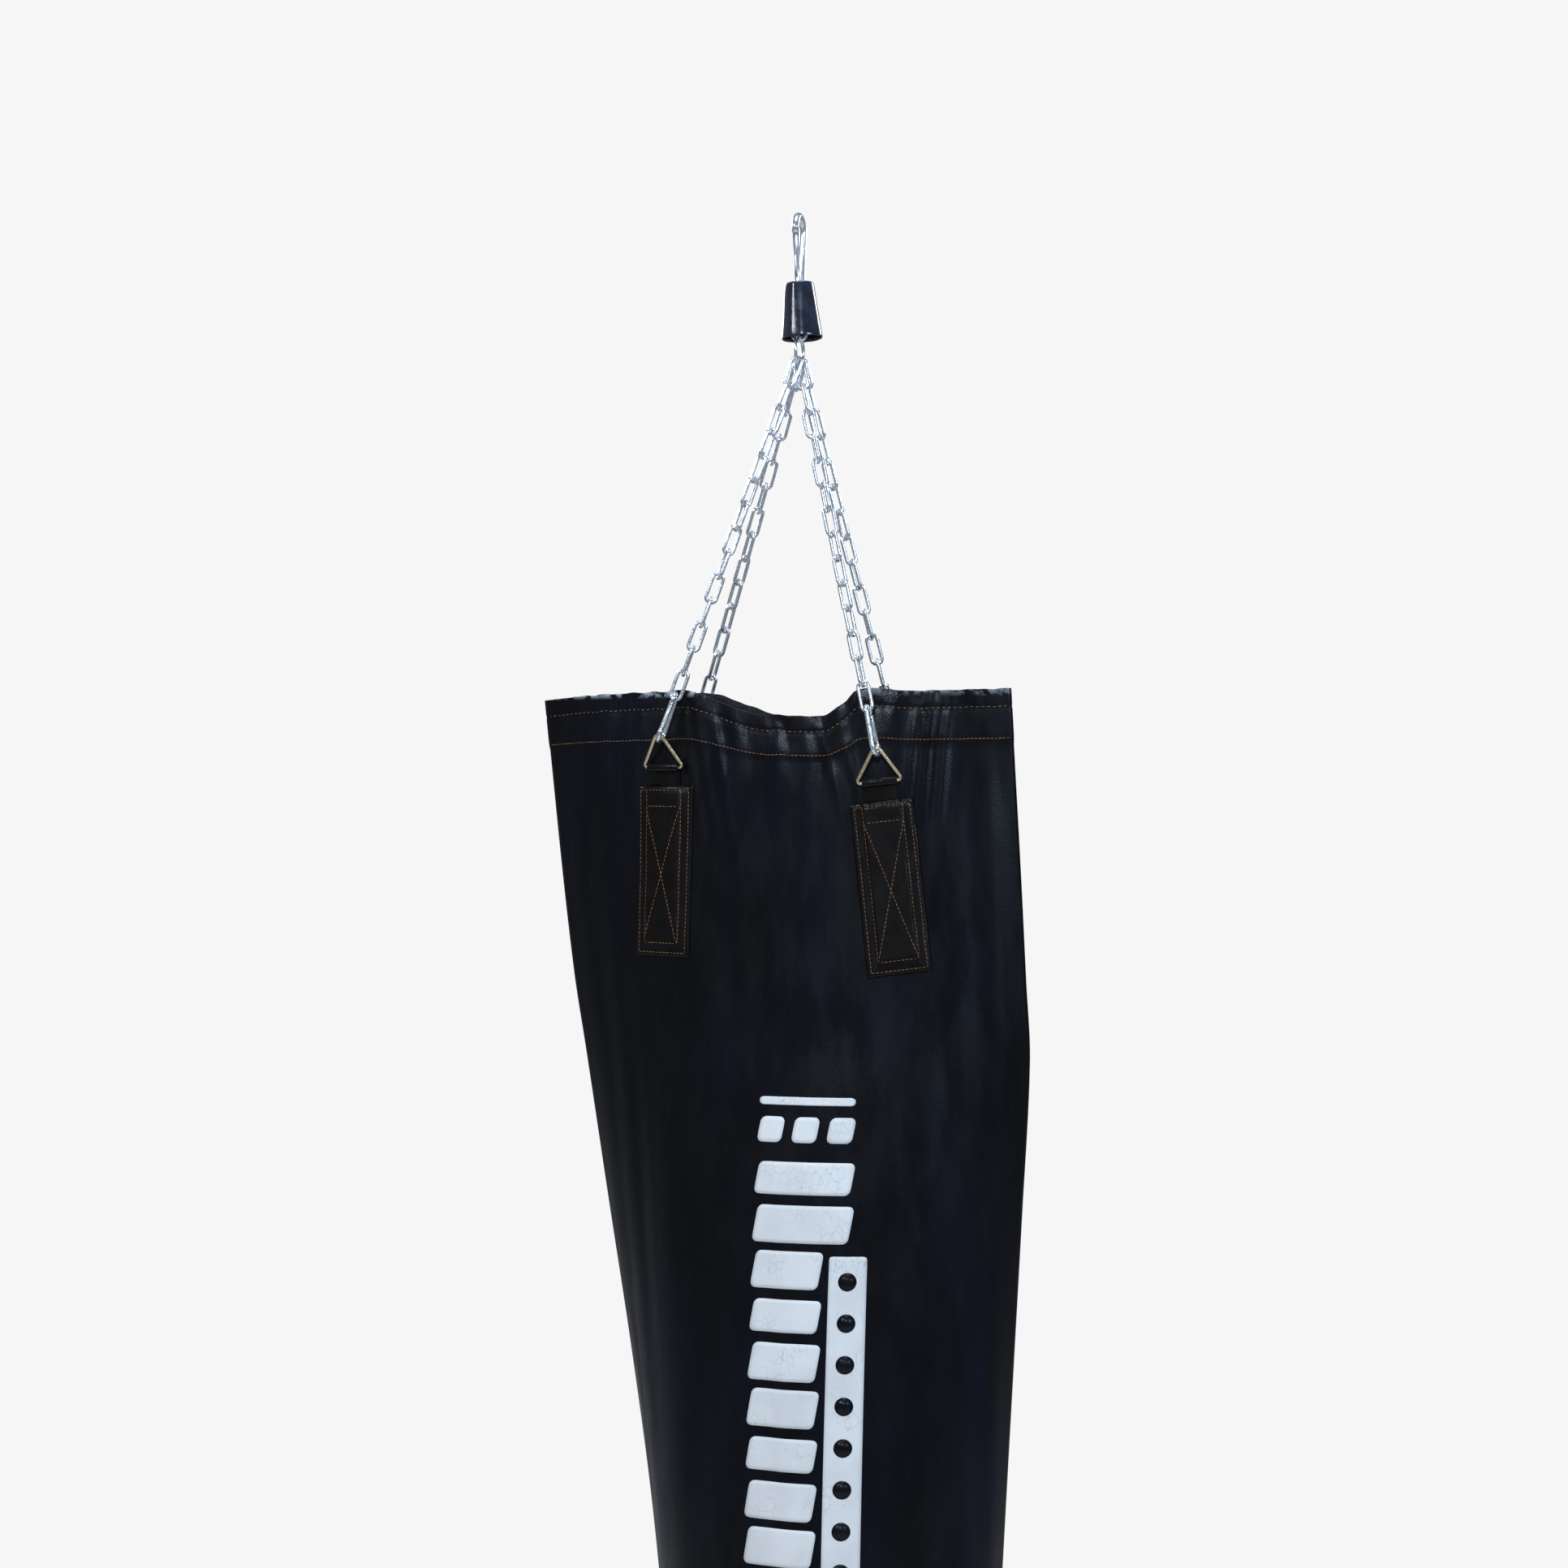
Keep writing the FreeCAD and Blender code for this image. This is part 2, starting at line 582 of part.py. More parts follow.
last_half, last_shift, _, _ = station(-size("bagTop") - size("bagLength"))
base_z = -size("bagTop") - size("bagLength")
disc = doc.addObject("Part::Cylinder", "base")
bind(disc, Radius=f"{last_half} - bagWall - 1", Height="baseThick")
finish(disc, "bottom_disc", FreeCAD.Placement(V(last_shift, 0, base_z), FreeCAD.Rotation()))
welt = doc.addObject("Part::Torus", "welt")
bind(welt, Radius1=f"{last_half} - weltRadius", Radius2="weltRadius")
finish(welt, "bottom_welt", FreeCAD.Placement(V(last_shift, 0, base_z - size("weltRadius") - 0.1),
                                              FreeCAD.Rotation()))

# ---------------------------------------------------------------- the four suspension points
# top middle and bottom middle of each pad, seen from the front; the back ones mirror them
PADS = {"left": ((-139, -627), (-141, -815)), "right": ((104, -643), (127, -830))}
# places of the first links along the bottom of the main ring
SEATS = {("front", "left"): -7.2, ("front", "right"): -2.5,
         ("back", "left"): 2.5, ("back", "right"): 7.2}
# turn of each small hook about its line of pull, which its chain takes up link by link
HOOK_TURN = {"left": -84.0, "right": 85.0}


def pad_frame(hand, side):
    """Placement of a pad just clear of the shell: X across, Y up the strap, Z outward."""
    (top_x, top_z), (low_x, low_z) = PADS[hand]
    top, low = surface(top_x, top_z, side), surface(low_x, low_z, side)
    middle_x, middle_z = (top_x + low_x) / 2, (top_z + low_z) / 2
    across = surface(middle_x + 10, middle_z, side) - surface(middle_x - 10, middle_z, side)
    up = (top - low).normalize()
    normal = across.cross(up).normalize()
    if normal.y * side < 0:
        normal = normal * -1
    across = up.cross(normal)
    proud = 0
    for column in (-1, -0.5, 0, 0.5, 1):
        for row in range(9):
            spot = (top + across * (column * size("padWidth") / 2)
                    - up * (row * size("padHeight") / 8))
            proud = max(proud, (surface(spot.x, spot.z, side) - top).dot(normal))
    base = top + normal * (proud + size("layerGap"))
    return FreeCAD.Placement(base, FreeCAD.Rotation(across, up, normal, "ZYX"))


def suspension(word, side, hand):
    """Pad, strap, triangular ring, snap hook and chain at one quarter of the bag."""
    name = f"{word}_{hand}"
    pad = pad_frame(hand, side)
    strap_pad("strap_pad_" + name, pad)

    # the ring's bar lies in the strap's fold, a little above the pad, in front of the tail
    bar_out = (size("layerGap") / 2 + size("strapThick") + size("triWire") / 2
               + size("foldPlay"))
    bar = pad.multVec(V(0, size("strapShown"), bar_out))
    across = pad.Rotation.multVec(V(1, 0, 0)) * -side
    up, out = pad.Rotation.multVec(V(0, 1, 0)), pad.Rotation.multVec(V(0, 0, 1))
    strap_loop("strap_loop_" + name,
               FreeCAD.Placement(bar, FreeCAD.Rotation(across, out * -1, up, "ZYX")))
    lean = math.radians(size("ringLean"))
    rise = up * math.cos(lean) + out * math.sin(lean)
    apex = bar - rise * triangle_edges()[1]
    triangle_ring("triangle_ring_" + name, frame_at(apex, rise, across))

    # the hook's low bow runs through the middle of the ring's apex bow, and from there the hook
    # and the chain pull in one line to the main ring
    held = apex - rise * (size("triTop") - size("triWire") / 2)
    seat = SEATS[word, hand]
    shoulder_y = abs(seat) + size("linkWire")
    ring_low = ring_centre - math.sqrt(size("ringRadius") ** 2 - shoulder_y ** 2)
    start = V(0, seat, ring_low + size("ringWire") / 2 + size("hangGap"))
    pull = (start - held).normalize()
    crown = held + pull * (size("snapLength") - 1.5 * size("snapWire") - size("hookDrop"))
    twist = -side * HOOK_TURN[hand]
    turn = FreeCAD.Rotation(V(0, 0, 1), twist)
    chain("chain_" + name, start, crown + pull * size("hangGap"), twist)
    snap_hook("snap_hook_" + name, "snapWire", "snapLength", "snapWide", "snapNarrow",
              frame_at(crown, pull, (1, 0, 0)) * FreeCAD.Placement(V(), turn))


for word, side in (("front", -1), ("back", 1)):
    for hand in PADS:
        suspension(word, side, hand)

# ---------------------------------------------------------------- export
doc.recompute()
for item in doc.Objects:
    if "Invalid" in item.State or "Error" in item.State:
        raise RuntimeError(f"{item.Label} did not compute")
for piece in finished:
    if piece.Shape.isNull() or not piece.Shape.isValid():
        raise RuntimeError(f"{piece.Label} has no valid shape")
os.makedirs("parts", exist_ok=True)
for piece in finished:
    piece.Shape.exportStep(f"parts/{piece.Label}.step")
print(len(finished), "sub-parts written")
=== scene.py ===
import json
import math

import bmesh
import bpy
from mathutils import Matrix, Vector, noise


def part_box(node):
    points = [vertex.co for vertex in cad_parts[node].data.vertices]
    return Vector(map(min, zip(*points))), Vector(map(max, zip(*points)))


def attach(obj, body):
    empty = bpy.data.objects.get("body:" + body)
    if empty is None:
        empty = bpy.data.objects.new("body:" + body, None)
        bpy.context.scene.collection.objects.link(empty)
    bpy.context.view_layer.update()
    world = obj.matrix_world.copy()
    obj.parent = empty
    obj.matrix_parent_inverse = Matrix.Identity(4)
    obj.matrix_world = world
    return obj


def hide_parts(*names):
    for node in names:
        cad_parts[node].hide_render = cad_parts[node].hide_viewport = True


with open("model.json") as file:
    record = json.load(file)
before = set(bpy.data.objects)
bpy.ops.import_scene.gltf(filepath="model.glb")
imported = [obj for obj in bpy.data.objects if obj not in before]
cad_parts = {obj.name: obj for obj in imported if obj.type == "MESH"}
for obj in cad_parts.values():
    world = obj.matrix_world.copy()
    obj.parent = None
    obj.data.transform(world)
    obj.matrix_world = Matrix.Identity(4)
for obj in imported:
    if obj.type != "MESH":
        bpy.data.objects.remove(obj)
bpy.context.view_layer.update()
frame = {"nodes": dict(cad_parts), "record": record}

bl_info = {
    "name": "Hanging Heavy Bag",
    "version": (1, 0, 0),
    "blender": (4, 5, 0),
    "location": "View3D > Sidebar > Heavy Bag",
    "description": "Builds the vinyl shell, straps, stitching and metal finishes of a heavy bag",
    "category": "Add Mesh",
}

CORNERS = [f"{word}_{hand}" for word in ("front", "back") for hand in ("left", "right")]
SIDES = {"front": -1, "back": 1}
# The rim's level and the shell's stations below it, as in the CAD model: drop below the rim,
# half width, sideways shift of the centre.
RIM_LEVEL = -0.525
STATIONS = ((0, 0.268, -0.031), (0.175, 0.264, -0.017), (0.315, 0.259, -0.005),
            (0.4, 0.254, 0.004), (0.575, 0.2355, 0.0135), (0.735, 0.218, 0.022),
            (0.96, 0.1955, 0.032), (1.2, 0.175, 0.04))
# Each pad's top middle and bottom middle on the panel, as X and Z.
PADS = {"left": ((-0.139, -0.627), (-0.141, -0.815)), "right": ((0.104, -0.643), (0.127, -0.830))}
# Height of the rim above its level, from side seam to side seam, as share of the panel's width.
RIM_LINE = ((-1, -0.005), (-0.72, 0.000), (-0.42, 0.002), (-0.30, 0.003), (-0.16, -0.010),
            (-0.03, -0.022), (0.10, -0.025), (0.26, -0.025), (0.34, -0.012), (0.385, 0.001),
            (0.45, 0.004), (0.60, 0.001), (1, 0.004))
# The drop at which the straps' places across a panel are measured.
STRAP_LEVEL = 0.1
# Waves of the sheet: pace across, pace down, layer of the noise, height in metres. The rim's
# waves also have the drop at which they have died out.
FOLDS = ((4.2, 1.3, 0, 0.0038), (11, 2.6, 5, 0.0016))
RIM_WAVES = (((15, 25, 9, 0.0021), 0.075), ((38, 60, 3, 0.0009), 0.055))
# Puckers below a strap: where each starts beside it, and how the fan of each strap leans.
PUCKERS = (-0.19, -0.11, 0.12, 0.18, 0.25)
PUCKER_LEANS = (0.35, -0.55)
# The hem's upper row of stitches below the rim, and the half width and depth of a row's groove.
UPPER_ROW = 0.019
GROOVE_WIDTH, GROOVE_DEPTH = 0.0016, 0.0007
# Stitching of a pad: inset of the outer row, half width of the inner box, its top bar below the
# pad's top and its foot above the pad's foot.
PAD_INSET, BOX_HALF, BOX_TOP, BOX_FOOT = 0.0048, 0.0208, 0.0225, 0.0155
# The front print, in X and Z of the front view. Both stand-offs are from the shell's face.
BAR_MIDDLE, BAR_TOP, BAR_PITCH, BAR_SLANT = 0.0335, -1.0445, 0.0475, 0.16
STRIP_MIDDLE, DOT_TOP, DOT_PITCH, DOT_RADIUS = 0.0835, -1.150, 0.0425, 0.0095
INK_LIFT, DOT_LIFT = 0.00045, 0.00075
# The cover's wall as radius and height below its top, round the outside and back up the inside.
COVER_WALL = ((0.0140, -0.0008), (0.0152, 0.0000), (0.0160, -0.0012), (0.0166, -0.0048),
              (0.0178, -0.016), (0.0196, -0.032), (0.0214, -0.047), (0.0226, -0.0575),
              (0.0229, -0.0610), (0.0223, -0.0620), (0.0213, -0.0612), (0.0207, -0.055),
              (0.0180, -0.032), (0.0152, -0.008))
COVER_TOP, COVER_TILT = -0.070, math.radians(-3)
# The base disc's section: share of its radius, height above its lowest level.
DISC_SECTION = ((0, -0.0035), (0.25, -0.0034), (0.5, -0.0026), (0.75, -0.0012), (0.93, 0),
                (0.985, 0.0012), (1, 0.0035), (0.985, 0.0036), (0.9, 0.0030), (0.5, 0.0006),
                (0, -0.0006))
# Lamps: name, place, width, power, tint. All look at the middle of the bag.
LAMPS = (("key", (-1.5, -2.4, 1.3), 0.8, 34, (0.84, 0.91, 1.0)),
         ("front_fill", (0.5, -2.8, 0.7), 0.45, 22, (0.70, 0.84, 1.0)),
         ("right_strip", (2.4, -1.5, 0.2), 0.6, 24, (0.58, 0.76, 1.0)),
         ("overhead", (0.2, -0.4, 1.7), 1.0, 18, (0.86, 0.93, 1.0)),
         ("rear_left", (-1.8, 2.0, 0.6), 0.9, 26, (0.82, 0.90, 1.0)),
         ("rear_right", (1.6, 2.3, 0.9), 0.9, 24, (0.86, 0.93, 1.0)))
LAMP_AIM = (0, 0, -0.75)


# ---------------------------------------------------------------- sizes and colours
class HeavyBagSizes(bpy.types.PropertyGroup):
    """Sizes a maker would change."""
    length: bpy.props.FloatProperty(
        name="Length", description="Height of the shell from rim to base",
        default=1.2, min=0.5, unit="LENGTH", subtype="DISTANCE")
    girth: bpy.props.FloatProperty(
        name="Girth", description="Distance round the shell", default=1.1, min=0.5,
        unit="LENGTH", subtype="DISTANCE")
    wall: bpy.props.FloatProperty(
        name="Wall", description="Thickness of the coated vinyl", default=0.002,
        min=0.0005, unit="LENGTH", subtype="DISTANCE")
    hem: bpy.props.FloatProperty(
        name="Hem", description="Depth of the hem, down to its lower row of stitches",
        default=0.0525, min=0.01, unit="LENGTH", subtype="DISTANCE")
    pad_width: bpy.props.FloatProperty(
        name="Pad width", description="Width of the leather pad over each strap",
        default=0.068, min=0.02, unit="LENGTH", subtype="DISTANCE")
    pad_height: bpy.props.FloatProperty(
        name="Pad height", description="Height of the leather pad over each strap",
        default=0.188, min=0.05, unit="LENGTH", subtype="DISTANCE")
    stitch: bpy.props.FloatProperty(
        name="Stitch", description="Distance from one stitch to the next", default=0.0046,
        min=0.002, unit="LENGTH", subtype="DISTANCE")
    thread: bpy.props.FloatProperty(
        name="Thread", description="Thickness of the sewing thread", default=0.0009,
        min=0.0003, unit="LENGTH", subtype="DISTANCE")


class HeavyBagColours(bpy.types.PropertyGroup):
    """Colours a maker would change."""
    vinyl: bpy.props.FloatVectorProperty(
        name="Vinyl", description="Coated vinyl of the shell", default=(0.0028, 0.0034, 0.0062),
        size=3, min=0, max=1, subtype="COLOR")
    leather: bpy.props.FloatVectorProperty(
        name="Leather", description="Straps and pads", default=(0.0036, 0.0026, 0.0026),
        size=3, min=0, max=1, subtype="COLOR")
    thread: bpy.props.FloatVectorProperty(
        name="Thread", description="Sewing thread", default=(0.42, 0.19, 0.07),
        size=3, min=0, max=1, subtype="COLOR")
    ink: bpy.props.FloatVectorProperty(
        name="Ink", description="Screen print on the front", default=(0.93, 0.94, 0.95),
        size=3, min=0, max=1, subtype="COLOR")
    zinc: bpy.props.FloatVectorProperty(
        name="Zinc", description="Bright plating of chain and hooks", default=(0.88, 0.92, 0.97),
        size=3, min=0, max=1, subtype="COLOR")
    brass: bpy.props.FloatVectorProperty(
        name="Brass", description="Pale plating of the strap rings", default=(0.80, 0.66, 0.42),
        size=3, min=0, max=1, subtype="COLOR")


# ---------------------------------------------------------------- shape of the shell
def sizes():
    """The scene's sizes."""
    return bpy.context.scene.heavy_bag_sizes


def colours():
    """The scene's colours."""
    return bpy.context.scene.heavy_bag_colours


def along(table, place):
    """Value of a table of (place, value, ...) rows at a place, eased through its rows."""
    if place <= table[0][0]:
        return list(table[0][1:])
    for row in range(len(table) - 1):
        if place <= table[row + 1][0]:
            break
    else:
        return list(table[-1][1:])
    first, last = table[row], table[row + 1]
    before, after = table[max(row - 1, 0)], table[min(row + 2, len(table) - 1)]
    span = last[0] - first[0]
    part = (place - first[0]) / span
    square, cube = part * part, part ** 3
    values = []
    for column in range(1, len(first)):
        start, end = first[column], last[column]
        left = (end - before[column]) / (last[0] - before[0]) * span
        right = (after[column] - start) / (after[0] - first[0]) * span
        values.append(start * (2 * cube - 3 * square + 1) + left * (cube - 2 * square + part)
                      + end * (3 * square - 2 * cube) + right * (cube - square))
    return values


def step(low, high, value):
    """Smooth step from 0 at low to 1 at high; the two may be either way round."""
    part = min(max((value - low) / (high - low), 0), 1)
    return part * part * (3 - 2 * part)


def bell(distance, width):
    """Bell curve: 1 at no distance, near 0 past twice the width."""
    return math.exp(-(distance / width) ** 2)


ARCS = {}


def section(drop):
    """Half angle, radius, shift and bulge of the panel's arc at a drop below the rim."""
    panel = sizes().girth / 2
    key = round(drop, 5), panel
    if key not in ARCS:
        half, shift = along(STATIONS, drop)
        low, high = 1e-4, math.pi / 2
        for _ in range(40):
            angle = (low + high) / 2
            if panel / 2 * math.sin(angle) / angle > half:
                low = angle
            else:
                high = angle
        radius = panel / 2 / angle
        ARCS[key] = angle, radius, shift, radius * (1 - math.cos(angle))
    return ARCS[key]


def strap_shares():
    """Where the two straps of a panel stand, as shares of the panel's half width."""
    angle, radius, shift, _ = section(STRAP_LEVEL)
    return [math.asin((PADS[hand][0][0] - shift) / radius) / angle for hand in ("left", "right")]


def wave(share, drop, seed, row):
    """Height of one of the sheet's waves, given as a row of FOLDS or RIM_WAVES."""
    across, down, layer, height = row
    return noise.noise(Vector((share * across, drop * down, layer)) + seed) * height


def puckers(share, drop):
    """Lines that fan out below each strap, and the sheet's rise over it."""
    start, heart, thin, line_height, rise_height = 0.08, 0.085, 0.016, 0.0024, 0.0035
    out = 0
    for place, lean in zip(strap_shares(), PUCKER_LEANS):
        away = share - place
        for number, offset in enumerate(PUCKERS):
            line = offset + lean * (drop - start) * (1 if offset > 0 else -1)
            reach = bell(drop - heart, 0.05 + 0.012 * number)
            out += bell(away - line, thin) * reach * line_height
        out += bell(away, 0.10) * bell(drop - 0.09, 0.07) * rise_height
    return out


def slack(share, drop):
    """Narrow waves of the mouth between the two straps."""
    left, right = strap_shares()
    fade, pace, height = 0.12, 46, 0.0012
    between = step(left, left + fade, share) * step(right, right - fade, share)
    drift = 2.5 * noise.noise(Vector((share * 6, drop * 9, 1)))
    return math.sin(share * pace + drift) * height * between * step(0.16, 0.03, drop)


def creases(share, drop, side):
    """How far the sheet stands out of its smooth form: folds, puckers, hem and rim."""
    seed = Vector((7.3 * side, 2.1, 0))
    off_seam = step(1.0, 0.86, abs(share))
    folds = sum(wave(share, drop, seed, row) for row in FOLDS)
    folds *= step(0.02, 0.16, drop) * step(1.15, 0.7, drop)
    rim = sum(wave(share, drop, seed, row) * step(end, 0, drop) for row, end in RIM_WAVES)
    lower_row = sizes().hem
    hem = 0.0011 * step(lower_row + 0.004, lower_row + 0.001, drop)
    for row in (UPPER_ROW, lower_row):
        hem -= GROOVE_DEPTH * bell(drop - row, GROOVE_WIDTH)
    return (folds + puckers(share, drop) + slack(share, drop) + rim) * off_seam + hem


def shell_point(share, drop, side, lift=0.0):
    """A point of the shell; share runs from -1 to 1 across the panel, lift is outward."""
    angle, radius, shift, bulge = section(drop)
    turn = share * angle
    reach = radius + creases(share, drop, side) + lift
    ragged = 0.0012 * noise.noise(Vector((share * 21, 0, side * 4)))
    rise = (along(RIM_LINE, share)[0] + ragged) * step(0.13, 0.0, drop)
    return Vector((shift + reach * math.sin(turn),
                   side * (reach * math.cos(turn) - radius + bulge),
                   RIM_LEVEL - drop + rise))


def shell_at(x, z, side, lift=0.0):
    """The shell's point below a place of the front or back view, for what is sewn on it."""
    drop = min(max(RIM_LEVEL - z, 0), sizes().length)
    angle, radius, shift, _ = section(drop)
    share = math.asin(min(max((x - shift) / radius, -1), 1)) / angle
    return shell_point(share, drop, side, lift)


def pad_point(hand, side, across, down, lift):
    """A point on a pad: across and down from its top middle, in metres."""
    (top_x, top_z), (low_x, low_z) = PADS[hand]
    lean = math.atan2(low_x - top_x, top_z - low_z)
    x = top_x + across * math.cos(lean) + down * math.sin(lean)
    z = top_z + across * math.sin(lean) - down * math.cos(lean)
    return shell_at(x, z, side, lift)


# ---------------------------------------------------------------- mesh helpers
def keep(mesh, name, materials, body, sharp=None):
    """Makes a finished bmesh a smooth-shaded object that rides on a body."""
    data = bpy.data.meshes.new(name)
    mesh.to_mesh(data)
    mesh.free()
    data.shade_smooth()
    if sharp is not None:
        data.set_sharp_from_angle(angle=math.radians(sharp))
    for material in materials:
        data.materials.append(material)
    piece = bpy.data.objects.new(name, data)
    bpy.context.scene.collection.objects.link(piece)
    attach(piece, body)
    return piece


def grid(columns, rows, place, flip=False):
    """A sheet of quads; place gives each corner of the -1 to 1 square its point."""
    mesh = bmesh.new()
    bmesh.ops.create_grid(mesh, x_segments=columns, y_segments=rows, size=1)
    for vertex in mesh.verts:
        vertex.co = place(vertex.co.x, vertex.co.y)
    if flip:
        bmesh.ops.reverse_faces(mesh, faces=mesh.faces[:])
    return mesh


def join(meshes, merge=None):
    """One bmesh from several, with near corners merged when a distance is given."""
    whole = bmesh.new()
    for mesh in meshes:
        data = bpy.data.meshes.new("join")
        mesh.to_mesh(data)
        mesh.free()
        whole.from_mesh(data)
        bpy.data.meshes.remove(data)
    if merge:
        bmesh.ops.remove_doubles(whole, verts=whole.verts[:], dist=merge)
    return whole


def lathe(outline, steps, closed=False):
    """A turned shape from (radius, height) corners, with the outline closed on request."""
    mesh = bmesh.new()
    corners = [mesh.verts.new((radius, 0, height)) for radius, height in outline]
    pairs = list(zip(corners, corners[1:]))
    if closed:
        pairs.append((corners[-1], corners[0]))
    edges = [mesh.edges.new(pair) for pair in pairs]
    bmesh.ops.spin(mesh, geom=corners + edges, axis=(0, 0, 1), cent=(0, 0, 0), steps=steps,
                   angle=2 * math.pi, use_merge=True)
    bmesh.ops.remove_doubles(mesh, verts=mesh.verts[:], dist=1e-5)
    bmesh.ops.recalc_face_normals(mesh, faces=mesh.faces[:])
    return mesh


def solidify(piece, thickness, inner=0):
    """Gives a sheet its thickness, inward; inner is the slot of the inside's material."""
    modifier = piece.modifiers.new("wall", "SOLIDIFY")
    modifier.thickness = thickness
    modifier.offset = -1
    modifier.material_offset = inner


def refined_copy(node, material, body, bevel=0.0):
    """A merged, smooth-shaded copy of a CAD node that stands for it."""
    flat_angle, edge_angle, sharp_angle = 4, 50, 35
    source = frame["nodes"][node]
    mesh = bmesh.new()
    mesh.from_mesh(source.data)
    bmesh.ops.remove_doubles(mesh, verts=mesh.verts[:], dist=2e-6)
    if bevel:
        bmesh.ops.dissolve_limit(mesh, angle_limit=math.radians(flat_angle),
                                 verts=mesh.verts[:], edges=mesh.edges[:])
        edges = [edge for edge in mesh.edges if len(edge.link_faces) == 2
                 and edge.calc_face_angle(0) > math.radians(edge_angle)]
        bmesh.ops.bevel(mesh, geom=edges, offset=bevel, offset_type="OFFSET", segments=2,
                        profile=0.5, affect="EDGES", clamp_overlap=True, material=-1)
    piece = keep(mesh, node + "_finished", [material], body, sharp=sharp_angle)
    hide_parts(node)


# ---------------------------------------------------------------- stitching
def outward_at(point, place, side):
    """Outward direction of a mapped surface by small steps; place takes (a, b)."""
    a, b = point
    tiny = 0.0015
    right = place(a + tiny, b) - place(a - tiny, b)
    down = place(a, b + tiny) - place(a, b - tiny)
    normal = right.cross(down).normalized()
    return normal if normal.y * side > 0 else -normal


def seam(place, corners, side):
    """A run of (point, outward) pairs along straight lines of a mapped surface."""
    spacing = 0.003
    spots = []
    for (a0, b0), (a1, b1) in zip(corners, corners[1:]):
        count = max(int(math.hypot(a1 - a0, b1 - b0) / spacing), 2)
        spots += [(a0 + (a1 - a0) * number / count, b0 + (b1 - b0) * number / count)
                  for number in range(count)]
    spots.append(corners[-1])
    return [(place(*spot), outward_at(spot, place, side)) for spot in spots]


def panel_row(drop, reach, count, side):
    """A run of (point, outward) pairs across a panel, out to a share of its half width."""
    def place(share, level):
        return shell_point(share, level, side)
    spots = [(-reach + 2 * reach * number / count, drop) for number in range(count + 1)]
    return [(place(*spot), outward_at(spot, place, side)) for spot in spots]


def stitch_ends(run, pitch, fill):
    """Both ends of each stitch along a run, as (point, outward) pairs."""
    lengths = [0]
    for first, last in zip(run, run[1:]):
        lengths.append(lengths[-1] + (last[0] - first[0]).length)
    count = max(round(lengths[-1] / pitch), 1)
    stride = lengths[-1] / count
    gap = stride * (1 - fill) / 2
    spot = 0
    for number in range(count):
        ends = []
        for distance in (number * stride + gap, (number + 1) * stride - gap):
            while spot < len(run) - 2 and lengths[spot + 1] < distance:
                spot += 1
            part = (distance - lengths[spot]) / max(lengths[spot + 1] - lengths[spot], 1e-9)
            ends.append([a.lerp(b, part) for a, b in zip(run[spot], run[spot + 1])])
        yield ends


def sew(name, runs, body, material, pitch, gauge, sink=0.25, fill=0.72):
    """Stitches along runs of (point, outward) pairs, each stitch a small bead of thread."""
    flatness, overlap = 0.8, 1.06
    bead = bmesh.new()
    bmesh.ops.create_uvsphere(bead, u_segments=6, v_segments=4, radius=0.5)
    template = bpy.data.meshes.new("stitch")
    bead.to_mesh(template)
    bead.free()
    stitches = []
    for run in runs:
        for (start, start_out), (end, end_out) in stitch_ends(run, pitch, fill):
            line = end - start
            across = (start_out + end_out).normalized().cross(line).normalized()
            up = line.normalized().cross(across)
            middle = (start + end) / 2 + up * gauge * sink
            turn = Matrix((across, up, line.normalized())).transposed().to_4x4()
            size = Matrix.Diagonal((gauge, gauge * flatness, line.length * overlap, 1))
            stitch = bmesh.new()
            stitch.from_mesh(template)
            stitch.transform(Matrix.Translation(middle) @ turn @ size)
            stitches.append(stitch)
    bpy.data.meshes.remove(template)
    return keep(join(stitches), name, [material], body)


